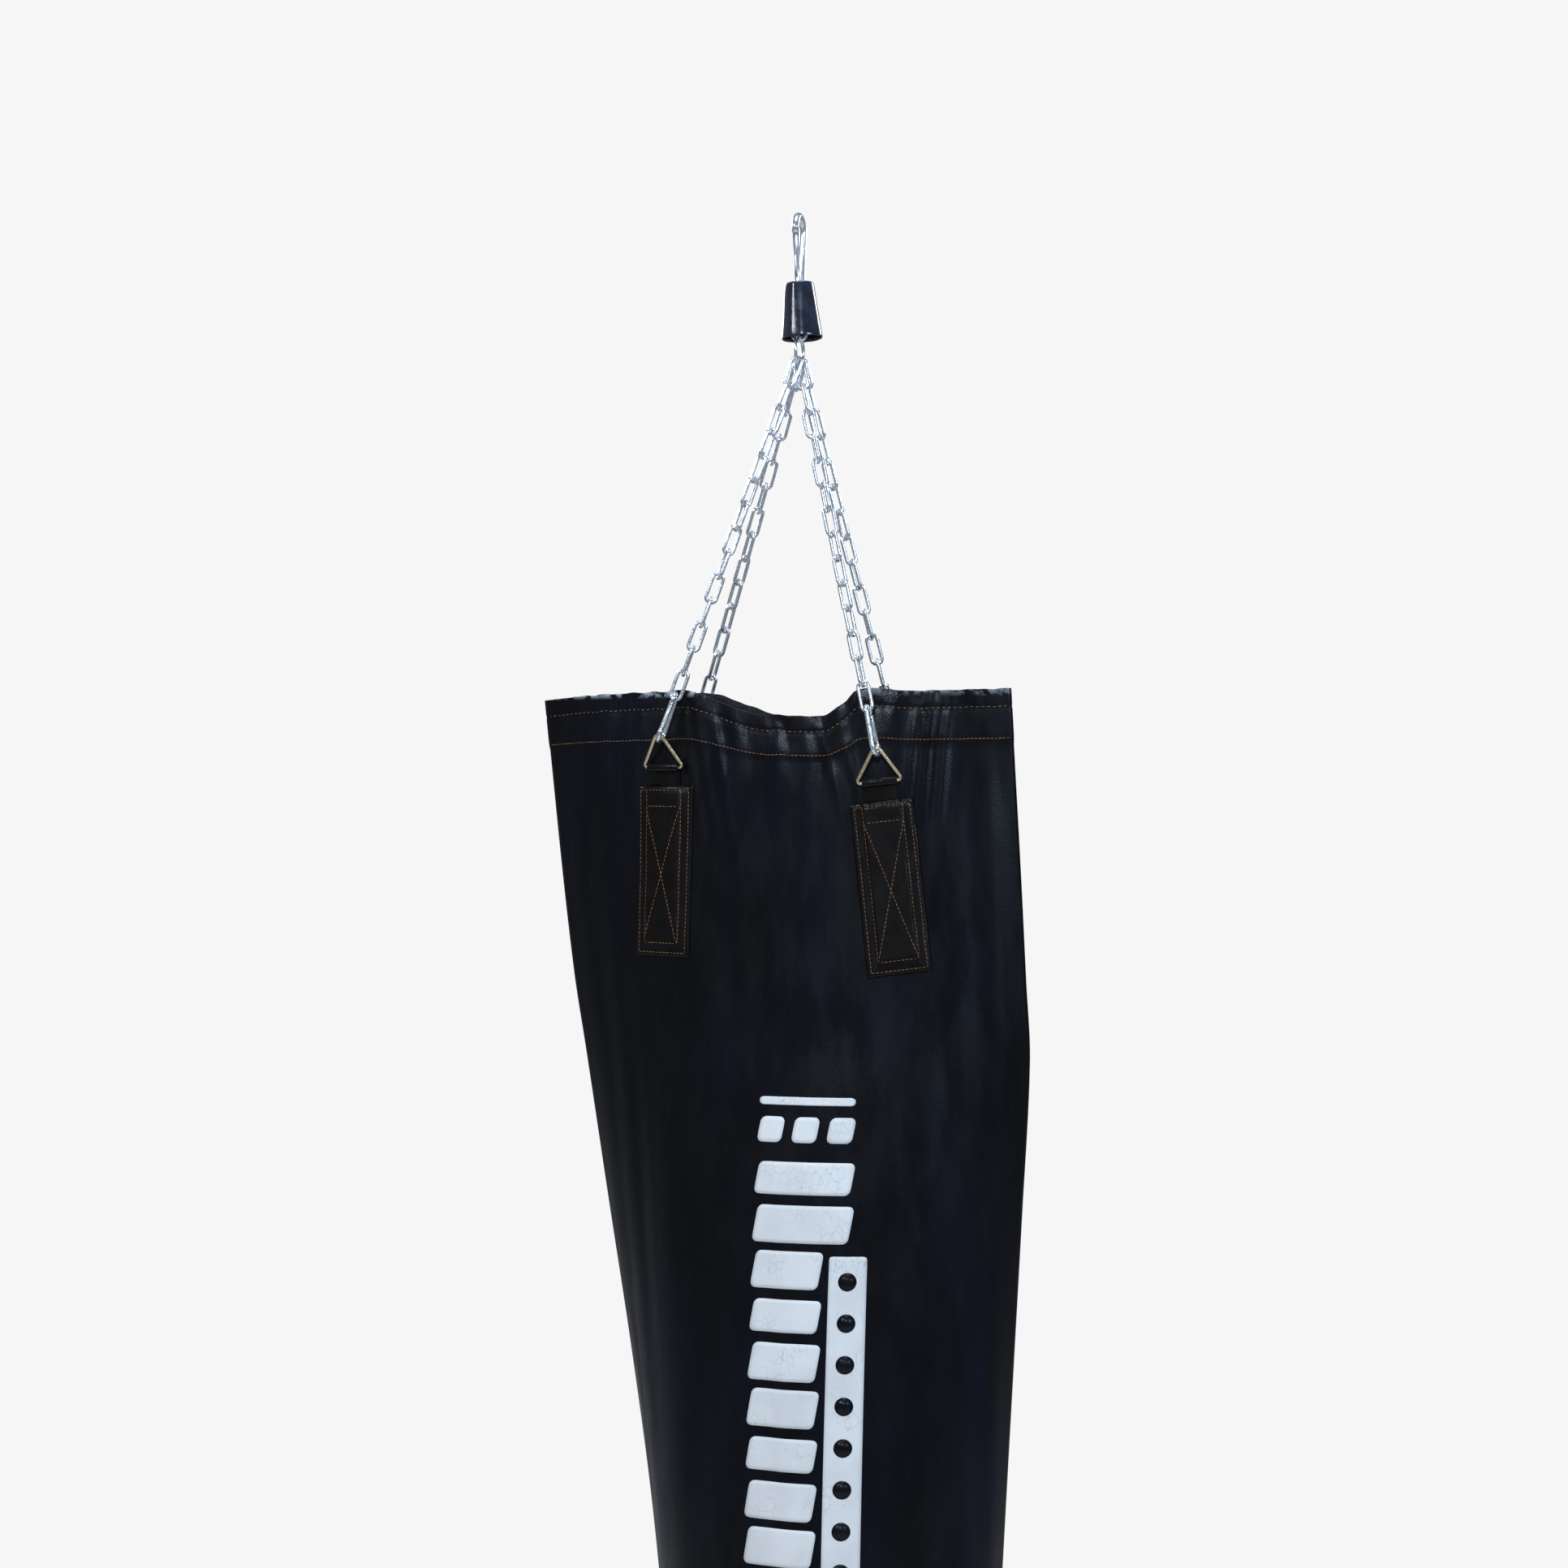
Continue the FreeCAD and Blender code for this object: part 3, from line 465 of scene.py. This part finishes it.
# ---------------------------------------------------------------- materials
class Finish:
    """A node material in the making: a principled shader and short ways to feed it."""

    def __init__(self, name, colour, roughness, metallic=0.0, coat=0.0, coat_roughness=0.1,
                 specular=0.5):
        self.material = bpy.data.materials.new(name)
        self.material.use_nodes = True
        self.material.diffuse_color = (*colour, 1)
        self.nodes = self.material.node_tree.nodes
        self.links = self.material.node_tree.links
        self.shader = self.nodes["Principled BSDF"]
        self.shader.inputs["Base Color"].default_value = (*colour, 1)
        self.shader.inputs["Roughness"].default_value = roughness
        self.shader.inputs["Metallic"].default_value = metallic
        self.shader.inputs["Coat Weight"].default_value = coat
        self.shader.inputs["Coat Roughness"].default_value = coat_roughness
        self.shader.inputs["Specular IOR Level"].default_value = specular
        self.place = self.nodes.new("ShaderNodeTexCoord").outputs["Object"]

    def stretched(self, scale):
        """The object's coordinates at a pace of their own along each axis."""
        mapping = self.nodes.new("ShaderNodeMapping")
        mapping.inputs["Scale"].default_value = scale
        self.links.new(self.place, mapping.inputs["Vector"])
        return mapping.outputs["Vector"]

    def noise(self, scale, detail=3.0, stretch=None):
        """Soft noise; stretch gives its pace along each axis."""
        node = self.nodes.new("ShaderNodeTexNoise")
        node.inputs["Scale"].default_value = scale
        node.inputs["Detail"].default_value = detail
        node.inputs["Roughness"].default_value = 0.55
        self.links.new(self.stretched(stretch) if stretch else self.place, node.inputs["Vector"])
        return node.outputs["Fac"]

    def cells(self, scale, stretch=None, feature="F1"):
        """Distance from the middle, or from the edge, of small cells."""
        node = self.nodes.new("ShaderNodeTexVoronoi")
        node.feature = feature
        node.inputs["Scale"].default_value = scale
        self.links.new(self.stretched(stretch) if stretch else self.place, node.inputs["Vector"])
        return node.outputs["Distance"]

    def coordinate(self, axis):
        """The place along one axis of the object, in metres."""
        node = self.nodes.new("ShaderNodeSeparateXYZ")
        self.links.new(self.place, node.inputs["Vector"])
        return node.outputs[axis]

    def remap(self, value, low, high, out_low=0.0, out_high=1.0):
        """Eases a value from one range into another."""
        node = self.nodes.new("ShaderNodeMapRange")
        node.interpolation_type = "SMOOTHSTEP"
        for index, number in enumerate((low, high, out_low, out_high), start=1):
            node.inputs[index].default_value = number
        self.links.new(value, node.inputs[0])
        return node.outputs["Result"]

    def multiply(self, first, second):
        """Product of an output and a number or another output."""
        node = self.nodes.new("ShaderNodeMath")
        node.operation = "MULTIPLY"
        self.links.new(first, node.inputs[0])
        if isinstance(second, float):
            node.inputs[1].default_value = second
        else:
            self.links.new(second, node.inputs[1])
        return node.outputs[0]

    def blend(self, factor, first, second):
        """Mixes two colours, each a tuple or the output of an earlier blend."""
        node = self.nodes.new("ShaderNodeMix")
        node.data_type = "RGBA"
        self.links.new(factor, node.inputs["Factor"])
        for index, colour in ((6, first), (7, second)):
            if isinstance(colour, tuple):
                node.inputs[index].default_value = (*colour, 1)
            else:
                self.links.new(colour, node.inputs[index])
        return node.outputs[2]

    def colour(self, value):
        """Feeds the shader's colour."""
        self.links.new(value, self.shader.inputs["Base Color"])

    def roughness(self, value):
        """Feeds the shader's roughness."""
        self.links.new(value, self.shader.inputs["Roughness"])

    def relief(self, *layers):
        """Chained bumps, each (height, strength, distance in metres)."""
        normal = None
        for height, strength, distance in layers:
            bump = self.nodes.new("ShaderNodeBump")
            bump.inputs["Strength"].default_value = strength
            bump.inputs["Distance"].default_value = distance
            self.links.new(height, bump.inputs["Height"])
            if normal:
                self.links.new(normal, bump.inputs["Normal"])
            normal = bump.outputs["Normal"]
        self.links.new(normal, self.shader.inputs["Normal"])
        if self.shader.inputs["Coat Weight"].default_value:
            self.links.new(normal, self.shader.inputs["Coat Normal"])
        return self.material


def scaled(colour, factor):
    """A lighter or darker colour."""
    return tuple(channel * factor for channel in colour)


def vinyl_finish():
    """Glossy coated vinyl: fine grain, soft crazing, painted blue-black reflection streaks, real
    dust with painted sheen, worn rim with a painted highlight.
    """
    base = tuple(colours().vinyl)
    made = Finish("bag_vinyl", base, 0.3, coat=0.10, coat_roughness=0.16, specular=0.16)
    # Painted reflection: soft, vertically stretched blue-black streaks that stand in for soft
    # bluish reflections.
    painted_reflection = made.remap(made.noise(5.0, 4, (2.2, 2.2, 0.5)), 0.42, 0.72)
    # Lighter streaks stretched up and down: partly real dust, partly painted sheen standing in for
    # soft reflections.
    dust_and_sheen = made.remap(made.noise(60.0, 5, (1.6, 1.6, 0.35)), 0.55, 0.80)
    tone = made.blend(painted_reflection, scaled(base, 0.6), (base[0] * 1.3, base[1] * 1.5, base[2] * 2.2))
    tone = made.blend(made.multiply(dust_and_sheen, 0.3), tone, scaled(base, 3.0))
    # A grey-white band along the rim: real wear, plus a painted highlight that is made stronger
    # towards the left side.
    rim = made.multiply(
        made.remap(made.coordinate("Z"), RIM_LEVEL - 0.006, RIM_LEVEL + 0.002),
        made.remap(made.coordinate("X"), 0.10, -0.12, 0.35, 1.0))
    rim_wear_and_highlight = made.multiply(rim, made.remap(made.noise(95.0, 4), 0.46, 0.58))
    tone = made.blend(rim_wear_and_highlight, tone, (0.50, 0.55, 0.62))
    made.colour(tone)
    made.roughness(made.remap(made.noise(24.0, 5, (1.5, 1.5, 0.5)), 0.3, 0.7, 0.22, 0.42))
    return made.relief((made.noise(9.0, 3, (1.6, 1.6, 0.45)), 0.35, 0.004),
                       (made.cells(620.0), 0.22, 0.0004), (made.noise(1500.0, 2), 0.12, 0.0002))


def lining_finish():
    """Woven backing seen inside the mouth."""
    made = Finish("bag_lining", (0.016, 0.017, 0.020), 0.82, specular=0.25)
    threads = made.multiply(made.noise(900.0, 2, (1, 1, 0.12)),
                            made.noise(900.0, 2, (0.12, 0.12, 1)))
    made.colour(made.blend(made.remap(threads, 0.18, 0.34), (0.008, 0.008, 0.010),
                           (0.030, 0.031, 0.036)))
    made.roughness(made.remap(made.noise(30.0), 0.3, 0.7, 0.72, 0.92))
    return made.relief((threads, 0.6, 0.0004))


def leather_finish():
    """Smooth black leather of straps and pads, with pores and a brown cast at worn places."""
    base = tuple(colours().leather)
    made = Finish("strap_leather", base, 0.36, coat=0.22, coat_roughness=0.10, specular=0.12)
    wear = made.remap(made.noise(34.0, 5, (1, 1, 0.6)), 0.50, 0.78)
    made.colour(made.blend(wear, scaled(base, 0.8), (base[0] * 2.6, base[1] * 2.0, base[2] * 1.8)))
    made.roughness(made.remap(made.noise(55.0, 4), 0.3, 0.7, 0.30, 0.52))
    return made.relief((made.noise(45.0, 4), 0.22, 0.0015), (made.cells(780.0), 0.25, 0.0004))


def gloss_finish():
    """High-gloss black vinyl of the swivel's cover, with fine drawn wrinkles."""
    made = Finish("cover_vinyl", (0.004, 0.010, 0.030), 0.16, coat=0.7, coat_roughness=0.10)
    made.colour(made.blend(made.remap(made.noise(60.0, 4), 0.45, 0.7), (0.003, 0.007, 0.020),
                           (0.008, 0.022, 0.060)))
    made.roughness(made.remap(made.noise(90.0, 4), 0.3, 0.7, 0.12, 0.28))
    return made.relief((made.noise(120.0, 4, (1, 1, 0.25)), 0.30, 0.0012),
                       (made.cells(900.0), 0.12, 0.0003))


def thread_finish():
    """Copper-coloured polyester thread, darker where it has picked up dirt."""
    base = tuple(colours().thread)
    made = Finish("sewing_thread", base, 0.5, specular=0.4)
    made.colour(made.blend(made.remap(made.noise(160.0, 3), 0.35, 0.7), base, scaled(base, 0.38)))
    made.roughness(made.remap(made.noise(300.0), 0.3, 0.7, 0.42, 0.65))
    return made.relief((made.noise(2600.0, 2, (1, 1, 0.4)), 0.5, 0.0003))


def ink_finish():
    """Screen ink: opaque, slightly uneven, with hair cracks."""
    base = tuple(colours().ink)
    made = Finish("print_ink", base, 0.5, specular=0.3)
    cracks = made.remap(made.cells(140.0, (1, 1, 0.7), "DISTANCE_TO_EDGE"), 0.0, 0.035, 0.45, 0.0)
    patches = made.multiply(cracks, made.remap(made.noise(22.0), 0.5, 0.62))
    tone = made.blend(made.remap(made.noise(14.0, 4), 0.35, 0.7), base, scaled(base, 0.88))
    made.colour(made.blend(patches, tone, scaled(base, 0.3)))
    made.roughness(made.remap(made.noise(80.0), 0.3, 0.7, 0.42, 0.6))
    return made.relief((made.noise(1100.0, 2), 0.2, 0.0002))


def piping_finish():
    """Twisted look of the covered piping round the base."""
    made = Finish("base_piping", (0.006, 0.006, 0.008), 0.42, coat=0.15, specular=0.4)
    wear = made.remap(made.noise(70.0, 4), 0.52, 0.75)
    made.colour(made.blend(wear, (0.004, 0.004, 0.006), (0.03, 0.03, 0.034)))
    made.roughness(made.remap(made.noise(40.0), 0.3, 0.7, 0.36, 0.6))
    return made.relief((made.cells(700.0), 0.3, 0.0004), (made.noise(60.0, 3), 0.3, 0.001))


def metal_finish(name, base, rough, spots=0.4, scale=90.0):
    """Plated wire: bright, with cloudy plating, fine draw lines and dull spots."""
    made = Finish(name, base, rough, metallic=0.92)
    cloud = made.remap(made.noise(scale, 4), 0.40, 0.72)
    tone = made.blend(cloud, base, scaled(base, 0.82))
    specks = made.remap(made.noise(scale * 7, 3), 0.62, 0.74)
    made.colour(made.blend(made.multiply(specks, spots), tone, scaled(base, 0.3)))
    made.roughness(made.remap(made.noise(scale * 2.2, 4), 0.3, 0.7, rough * 0.7, rough * 1.6))
    return made.relief((made.noise(scale * 4, 3), 0.18, 0.0004),
                       (made.noise(scale * 16, 2, (1, 1, 0.2)), 0.10, 0.0002))


FINISHES = {
    "vinyl": vinyl_finish, "lining": lining_finish, "leather": leather_finish,
    "gloss": gloss_finish, "thread": thread_finish, "ink": ink_finish, "piping": piping_finish,
    "zinc": lambda: metal_finish("bright_zinc", tuple(colours().zinc), 0.16),
    "chain": lambda: metal_finish("chain_zinc", tuple(colours().zinc), 0.20, 0.3, 120.0),
    "brass": lambda: metal_finish("pale_brass", tuple(colours().brass), 0.24, 0.5, 150.0),
    "rivet": lambda: metal_finish("rivet_steel", (0.55, 0.56, 0.58), 0.32, 0.5, 200.0),
}
MATERIALS = {}


def finish_of(name):
    """Each finish is made once and shared."""
    if name not in MATERIALS:
        MATERIALS[name] = FINISHES[name]()
    return MATERIALS[name]


# ---------------------------------------------------------------- operators
class HEAVYBAG_OT_shell(bpy.types.Operator):
    """Front and back panels, sewn to one shell with a doubled hem"""
    bl_idname = "heavybag.shell"
    bl_label = "Shell"

    def execute(self, context):
        wall, tall = sizes().wall, sizes().length
        crowding = 1.35  # rows stand closer together towards the rim
        columns, rows = ((148, 148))
        panels = []
        for side in SIDES.values():
            panels.append(grid(columns, rows, lambda a, b, side=side: shell_point(
                a, tall * (0.5 - 0.5 * b) ** crowding, side), flip=side > 0))
        shell = keep(join(panels, merge=0.0006), "bag_shell",
                     [finish_of("vinyl"), finish_of("lining")], "bag")
        solidify(shell, wall, inner=1)
        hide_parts("front_panel", "back_panel")
        for word, side in SIDES.items():
            self.hem_band(word, side, -wall - 0.0006)
        return {"FINISHED"}

    def hem_band(self, word, side, inset):
        """The turned-in cloth of one panel's hem, an inset behind its face."""
        reach, start, depth = 0.965, 0.0012, sizes().hem + 0.001
        band = keep(grid(100, 10, lambda a, b: shell_point(
            a * reach, start + depth * (0.5 - 0.5 * b), side, inset), flip=side > 0),
            word + "_mouth_hem", [finish_of("lining")], "bag")
        solidify(band, 0.0013)
        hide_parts(word + "_mouth_band")


class HEAVYBAG_OT_hem_stitches(bpy.types.Operator):
    """Two rows of stitching round the mouth"""
    bl_idname = "heavybag.hem_stitches"
    bl_label = "Hem stitches"

    def execute(self, context):
        reach, count = 0.985, 260
        # label, drop below the rim, pitch, share of the pitch that is thread
        rows = (("upper", UPPER_ROW, 0.0062, 0.55), ("lower", sizes().hem, 0.0044, 0.8))
        for word, side in SIDES.items():
            for label, drop, pitch, fill in rows:
                sew(f"{word}_hem_stitches_{label}", [panel_row(drop, reach, count, side)],
                    "bag", finish_of("thread"), pitch, sizes().thread, sink=0.45, fill=fill)
        return {"FINISHED"}


def pad_height(across, down):
    """How far a pad's face stands off the shell: edge, sewn rows and the strap's ridge."""
    half, tall = sizes().pad_width / 2, sizes().pad_height
    leather, edge_rise, strap_rise, outer_groove, box_groove = 0.0008, 0.0021, 0.0034, 7e-4, 6e-4
    from_edge = min(half - abs(across), down, tall - down)
    edge = step(0, 0.0032, from_edge)
    ridge = step(0.0225, 0.0185, abs(across)) * step(0.182, 0.168, down)
    out = leather + edge_rise * edge + strap_rise * ridge
    out -= outer_groove * bell(from_edge - PAD_INSET, 0.0011)
    out -= box_groove * bell(abs(across) - BOX_HALF, 0.0012) * step(0.178, 0.170, down)
    return out + noise.noise(Vector((across * 40, down * 26, 2))) * 0.0007 * edge


class HEAVYBAG_OT_pads(bpy.types.Operator):
    """Leather pads over the straps, with their box-and-cross stitching"""
    bl_idname = "heavybag.pads"
    bl_label = "Strap pads"

    def execute(self, context):
        half, tall = sizes().pad_width / 2, sizes().pad_height
        wide, low, edge = BOX_HALF, tall - BOX_FOOT, half - PAD_INSET
        rows = [[(-edge, PAD_INSET), (edge, PAD_INSET), (edge, tall - PAD_INSET),
                 (-edge, tall - PAD_INSET), (-edge, PAD_INSET)],
                [(-wide, PAD_INSET), (-wide, low), (wide, low), (wide, PAD_INSET)],
                [(-wide, BOX_TOP), (wide, BOX_TOP)],
                [(-wide, BOX_TOP), (wide, low)], [(wide, BOX_TOP), (-wide, low)]]
        for corner in CORNERS:
            word, hand = corner.split("_")
            side = SIDES[word]

            def face(across, down, hand=hand, side=side):
                return pad_point(hand, side, across, down, pad_height(across, down))

            pad = keep(grid(56, 110, lambda a, b: face(a * half, tall * (0.5 - 0.5 * b)),
                            flip=side > 0),
                       f"pad_{corner}", [finish_of("leather")], "bag")
            solidify(pad, 0.0022)
            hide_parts(f"strap_pad_{corner}")
            sew(f"pad_stitches_{corner}", [seam(face, row, side) for row in rows], "bag",
                finish_of("thread"), sizes().stitch, sizes().thread * 0.9)
        return {"FINISHED"}


class HEAVYBAG_OT_straps(bpy.types.Operator):
    """Straps folded round the triangular rings"""
    bl_idname = "heavybag.straps"
    bl_label = "Strap folds"

    def execute(self, context):
        for corner in CORNERS:
            refined_copy(f"strap_loop_{corner}", finish_of("leather"), "bag",
                         bevel=0.0006)
        return {"FINISHED"}


class HEAVYBAG_OT_base(bpy.types.Operator):
    """Sewn base disc and the piping round it"""
    bl_idname = "heavybag.base"
    bl_label = "Base"

    def execute(self, context):
        low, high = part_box("bottom_disc")
        middle = (Vector(low) + Vector(high)) / 2
        self.disc(middle, (high[0] - low[0]) / 2, low[2])
        self.piping(middle)
        runs = [panel_row(sizes().length - 0.011, 0.995, 120, side) for side in SIDES.values()]
        sew("base_stitches", runs, "bag", finish_of("thread"), 0.005, sizes().thread)
        return {"FINISHED"}

    def disc(self, middle, radius, level):
        """The base disc, slightly uneven, in the CAD disc's place."""
        disc = lathe([(share * radius, rise) for share, rise in DISC_SECTION], 96)
        for vertex in disc.verts:
            vertex.co.z += noise.noise(vertex.co * 9) * 0.0012
        disc.transform(Matrix.Translation((middle.x, middle.y, level)))
        base = keep(disc, "base_disc", [finish_of("vinyl")], "bag")
        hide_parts("bottom_disc")

    def piping(self, middle):
        """The round cord along the disc's edge."""
        low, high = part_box("bottom_welt")
        thick = (high[2] - low[2]) / 2
        ring = (high[0] - low[0]) / 2 - thick
        corners = 14
        turns = [2 * math.pi * number / corners for number in range(corners)]
        cord = lathe([(ring - thick * math.sin(turn), thick * math.cos(turn)) for turn in turns],
                     160, closed=True)
        cord.transform(Matrix.Translation((middle.x, middle.y, (low[2] + high[2]) / 2)))
        piping = keep(cord, "base_piping", [finish_of("piping")], "bag")
        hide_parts("bottom_welt")


def print_patch(centre, half_width, half_height, shear=0.0, corner=0.006):
    """A printed bar with round corners laid on the front panel, centre given as X and Z."""
    cell = 0.002

    def place(a, b):
        x, z = a * half_width, b * half_height
        away = Vector((corner - half_width + abs(x), corner - half_height + abs(z)))
        if min(away) > 0:
            pulled = away * (max(away) / away.length)
            x = math.copysign(half_width - corner + pulled.x, x)
            z = math.copysign(half_height - corner + pulled.y, z)
        return shell_at(centre[0] + x + shear * z, centre[1] + z, SIDES["front"], INK_LIFT)

    return grid(max(int(half_width / cell), 6), max(int(half_height / cell), 6), place)


def print_dot(centre):
    """A round dot on the front panel, centre given as X and Z."""
    mesh = bmesh.new()
    bmesh.ops.create_circle(mesh, cap_ends=True, cap_tris=True, segments=28, radius=DOT_RADIUS)
    for vertex in mesh.verts:
        vertex.co = shell_at(centre[0] + vertex.co.x, centre[1] + vertex.co.y,
                             SIDES["front"], DOT_LIFT)
    return mesh


class HEAVYBAG_OT_print(bpy.types.Operator):
    """Plain geometric print down the front"""
    bl_idname = "heavybag.print"
    bl_label = "Front print"

    def execute(self, context):
        bars = []
        wide, square = 0.0520, 0.0135
        for number in range(12):
            cut = 0.0 if number < 2 else 0.0150  # room for the strip on the right
            bars.append(print_patch((BAR_MIDDLE - cut, BAR_TOP - BAR_PITCH * number), wide - cut,
                                    0.0195 if number % 3 else 0.0170, shear=BAR_SLANT))
        bars.append(print_patch((BAR_MIDDLE, -0.964), wide, 0.0042, corner=0.004))
        for offset in (-0.038, 0, 0.038):
            bars.append(print_patch((BAR_MIDDLE + offset, -0.994), square, square,
                                    shear=BAR_SLANT))
        bars.append(print_patch((STRIP_MIDDLE, -1.362), 0.0195, 0.238, corner=0.003))
        ink = keep(join(bars), "front_print", [finish_of("ink")], "bag")
        solidify(ink, 0.0003)
        dots = [print_dot((STRIP_MIDDLE, DOT_TOP - DOT_PITCH * number)) for number in range(11)]
        marks = keep(join(dots), "print_dots", [finish_of("vinyl")], "bag")
        solidify(marks, 0.0002)
        return {"FINISHED"}


class HEAVYBAG_OT_cover(bpy.types.Operator):
    """Tapered cover over the swivel, with the raised lap of its seam"""
    bl_idname = "heavybag.cover"
    bl_label = "Swivel cover"

    def execute(self, context):
        lap_start, lap_height, sag_height = 0.9, 0.0007, 0.0006
        mesh = lathe(COVER_WALL, 72, closed=True)
        for vertex in mesh.verts:
            past = math.atan2(vertex.co.y, vertex.co.x) - lap_start
            out = Vector((vertex.co.x, vertex.co.y, 0)).normalized()
            lap = lap_height * step(0.0, 0.05, past) * step(0.62, 0.55, past)
            sag = noise.noise(Vector((out.x * 2.2, out.y * 2.2, vertex.co.z * 34))) * sag_height
            vertex.co += out * (lap + sag)
        mesh.transform(Matrix.Translation((0, 0, COVER_TOP))
                       @ Matrix.Rotation(COVER_TILT, 4, "Y"))
        cover = keep(mesh, "cover_sleeve", [finish_of("gloss")], "swivel")
        modifier = cover.modifiers.new("round", "SUBSURF")
        modifier.levels = modifier.render_levels = 1
        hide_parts("swivel_cover")
        return {"FINISHED"}


class HEAVYBAG_OT_metal(bpy.types.Operator):
    """Smooth, plated finish for chains, hooks, rings and swivel"""
    bl_idname = "heavybag.metal"
    bl_label = "Metal parts"

    def execute(self, context):
        homes = {node: body for body, nodes in frame["record"]["behaviour"]["bodies"].items()
                 for node in nodes}
        finishes = {"polished_steel": "zinc", "chain_steel": "chain", "rivet_steel": "rivet",
                    "ring_brass": "brass"}
        for row in frame["record"]["subparts"]:
            slot = row["material_slot"]
            if slot in finishes:
                refined_copy(row["node"], finish_of(finishes[slot]), homes[row["node"]])
        return {"FINISHED"}


class HEAVYBAG_OT_stage(bpy.types.Operator):
    """Pale floor, soft studio light and the camera"""
    bl_idname = "heavybag.stage"
    bl_label = "Stage"

    def execute(self, context):
        context.scene.view_settings.view_transform = "Standard"
        self.floor(context.scene)
        self.world(context.scene)
        self.lamps(context.scene)
        self.camera(context.scene)
        return {"FINISHED"}

    def floor(self, scene):
        """A round pale floor well below the bag."""
        tint, radius, level = (0.93, 0.89, 0.84), 1.9, -2.15
        mesh = bmesh.new()
        bmesh.ops.create_circle(mesh, cap_ends=True, segments=96, radius=radius,
                                matrix=Matrix.Translation((0, 0, level)))
        data = bpy.data.meshes.new("floor")
        mesh.to_mesh(data)
        mesh.free()
        pale = Finish("studio_floor", tint, 0.85)
        pale.colour(pale.blend(pale.noise(3.0), tint, (0.91, 0.87, 0.82)))
        data.materials.append(pale.material)
        floor = bpy.data.objects.new("floor", data)
        scene.collection.objects.link(floor)

    def world(self, scene):
        """A near-white backdrop for the camera and a dimmer, cooler light for the rest."""
        world = bpy.data.worlds.new("studio")
        scene.world = world
        world.use_nodes = True
        nodes, links = world.node_tree.nodes, world.node_tree.links
        seen = nodes.new("ShaderNodeBackground")
        seen.inputs["Color"].default_value = (0.922, 0.922, 0.922, 1)
        light = nodes["Background"]
        light.inputs["Color"].default_value = (0.86, 0.92, 1.0, 1)
        light.inputs["Strength"].default_value = 0.25
        mix = nodes.new("ShaderNodeMixShader")
        links.new(nodes.new("ShaderNodeLightPath").outputs["Is Camera Ray"], mix.inputs[0])
        links.new(light.outputs[0], mix.inputs[1])
        links.new(seen.outputs[0], mix.inputs[2])
        links.new(mix.outputs[0], nodes["World Output"].inputs["Surface"])

    def lamps(self, scene):
        """Six area lamps round the bag."""
        for name, spot, width, power, tint in LAMPS:
            lamp = bpy.data.lights.new(name, "AREA")
            lamp.size, lamp.energy, lamp.color = width, power, tint
            holder = bpy.data.objects.new(name, lamp)
            holder.location = spot
            aim = Vector(LAMP_AIM) - Vector(spot)
            holder.rotation_euler = aim.to_track_quat("-Z", "Y").to_euler()
            scene.collection.objects.link(holder)

    def camera(self, scene):
        """A level view of the front, from a little to one side."""
        azimuth, distance, shift, level = math.radians(15), 2.8, -0.017, -0.625
        right = Vector((math.cos(azimuth), math.sin(azimuth), 0))
        forward = Vector((-math.sin(azimuth), math.cos(azimuth), 0))
        camera = bpy.data.objects.new("camera", bpy.data.cameras.new("camera"))
        camera.data.lens = 58.0
        camera.location = right * shift - forward * distance + Vector((0, 0, level))
        camera.rotation_euler = forward.to_track_quat("-Z", "Y").to_euler()
        scene.collection.objects.link(camera)
        scene.camera = camera


class HEAVYBAG_PT_panel(bpy.types.Panel):
    """Sidebar panel that lists the builders"""
    bl_idname = "HEAVYBAG_PT_panel"
    bl_label = "Heavy Bag"
    bl_space_type = "VIEW_3D"
    bl_region_type = "UI"
    bl_category = "Heavy Bag"

    def draw(self, context):
        for group in (context.scene.heavy_bag_sizes, context.scene.heavy_bag_colours):
            for name in group.__annotations__:
                self.layout.prop(group, name)
        for operator in OPERATORS:
            self.layout.operator(operator.bl_idname)


OPERATORS = (HEAVYBAG_OT_stage, HEAVYBAG_OT_shell, HEAVYBAG_OT_hem_stitches, HEAVYBAG_OT_pads,
             HEAVYBAG_OT_straps, HEAVYBAG_OT_base, HEAVYBAG_OT_print, HEAVYBAG_OT_cover,
             HEAVYBAG_OT_metal)
CLASSES = (HeavyBagSizes, HeavyBagColours, *OPERATORS, HEAVYBAG_PT_panel)


def register():
    for made in CLASSES:
        bpy.utils.register_class(made)
    bpy.types.Scene.heavy_bag_sizes = bpy.props.PointerProperty(type=HeavyBagSizes)
    bpy.types.Scene.heavy_bag_colours = bpy.props.PointerProperty(type=HeavyBagColours)


def unregister():
    del bpy.types.Scene.heavy_bag_colours
    del bpy.types.Scene.heavy_bag_sizes
    for made in reversed(CLASSES):
        bpy.utils.unregister_class(made)


def main():
    register()
    for operator in OPERATORS:
        group, name = operator.bl_idname.split(".")
        getattr(getattr(bpy.ops, group), name)()


if __name__ == "__main__":
    main()
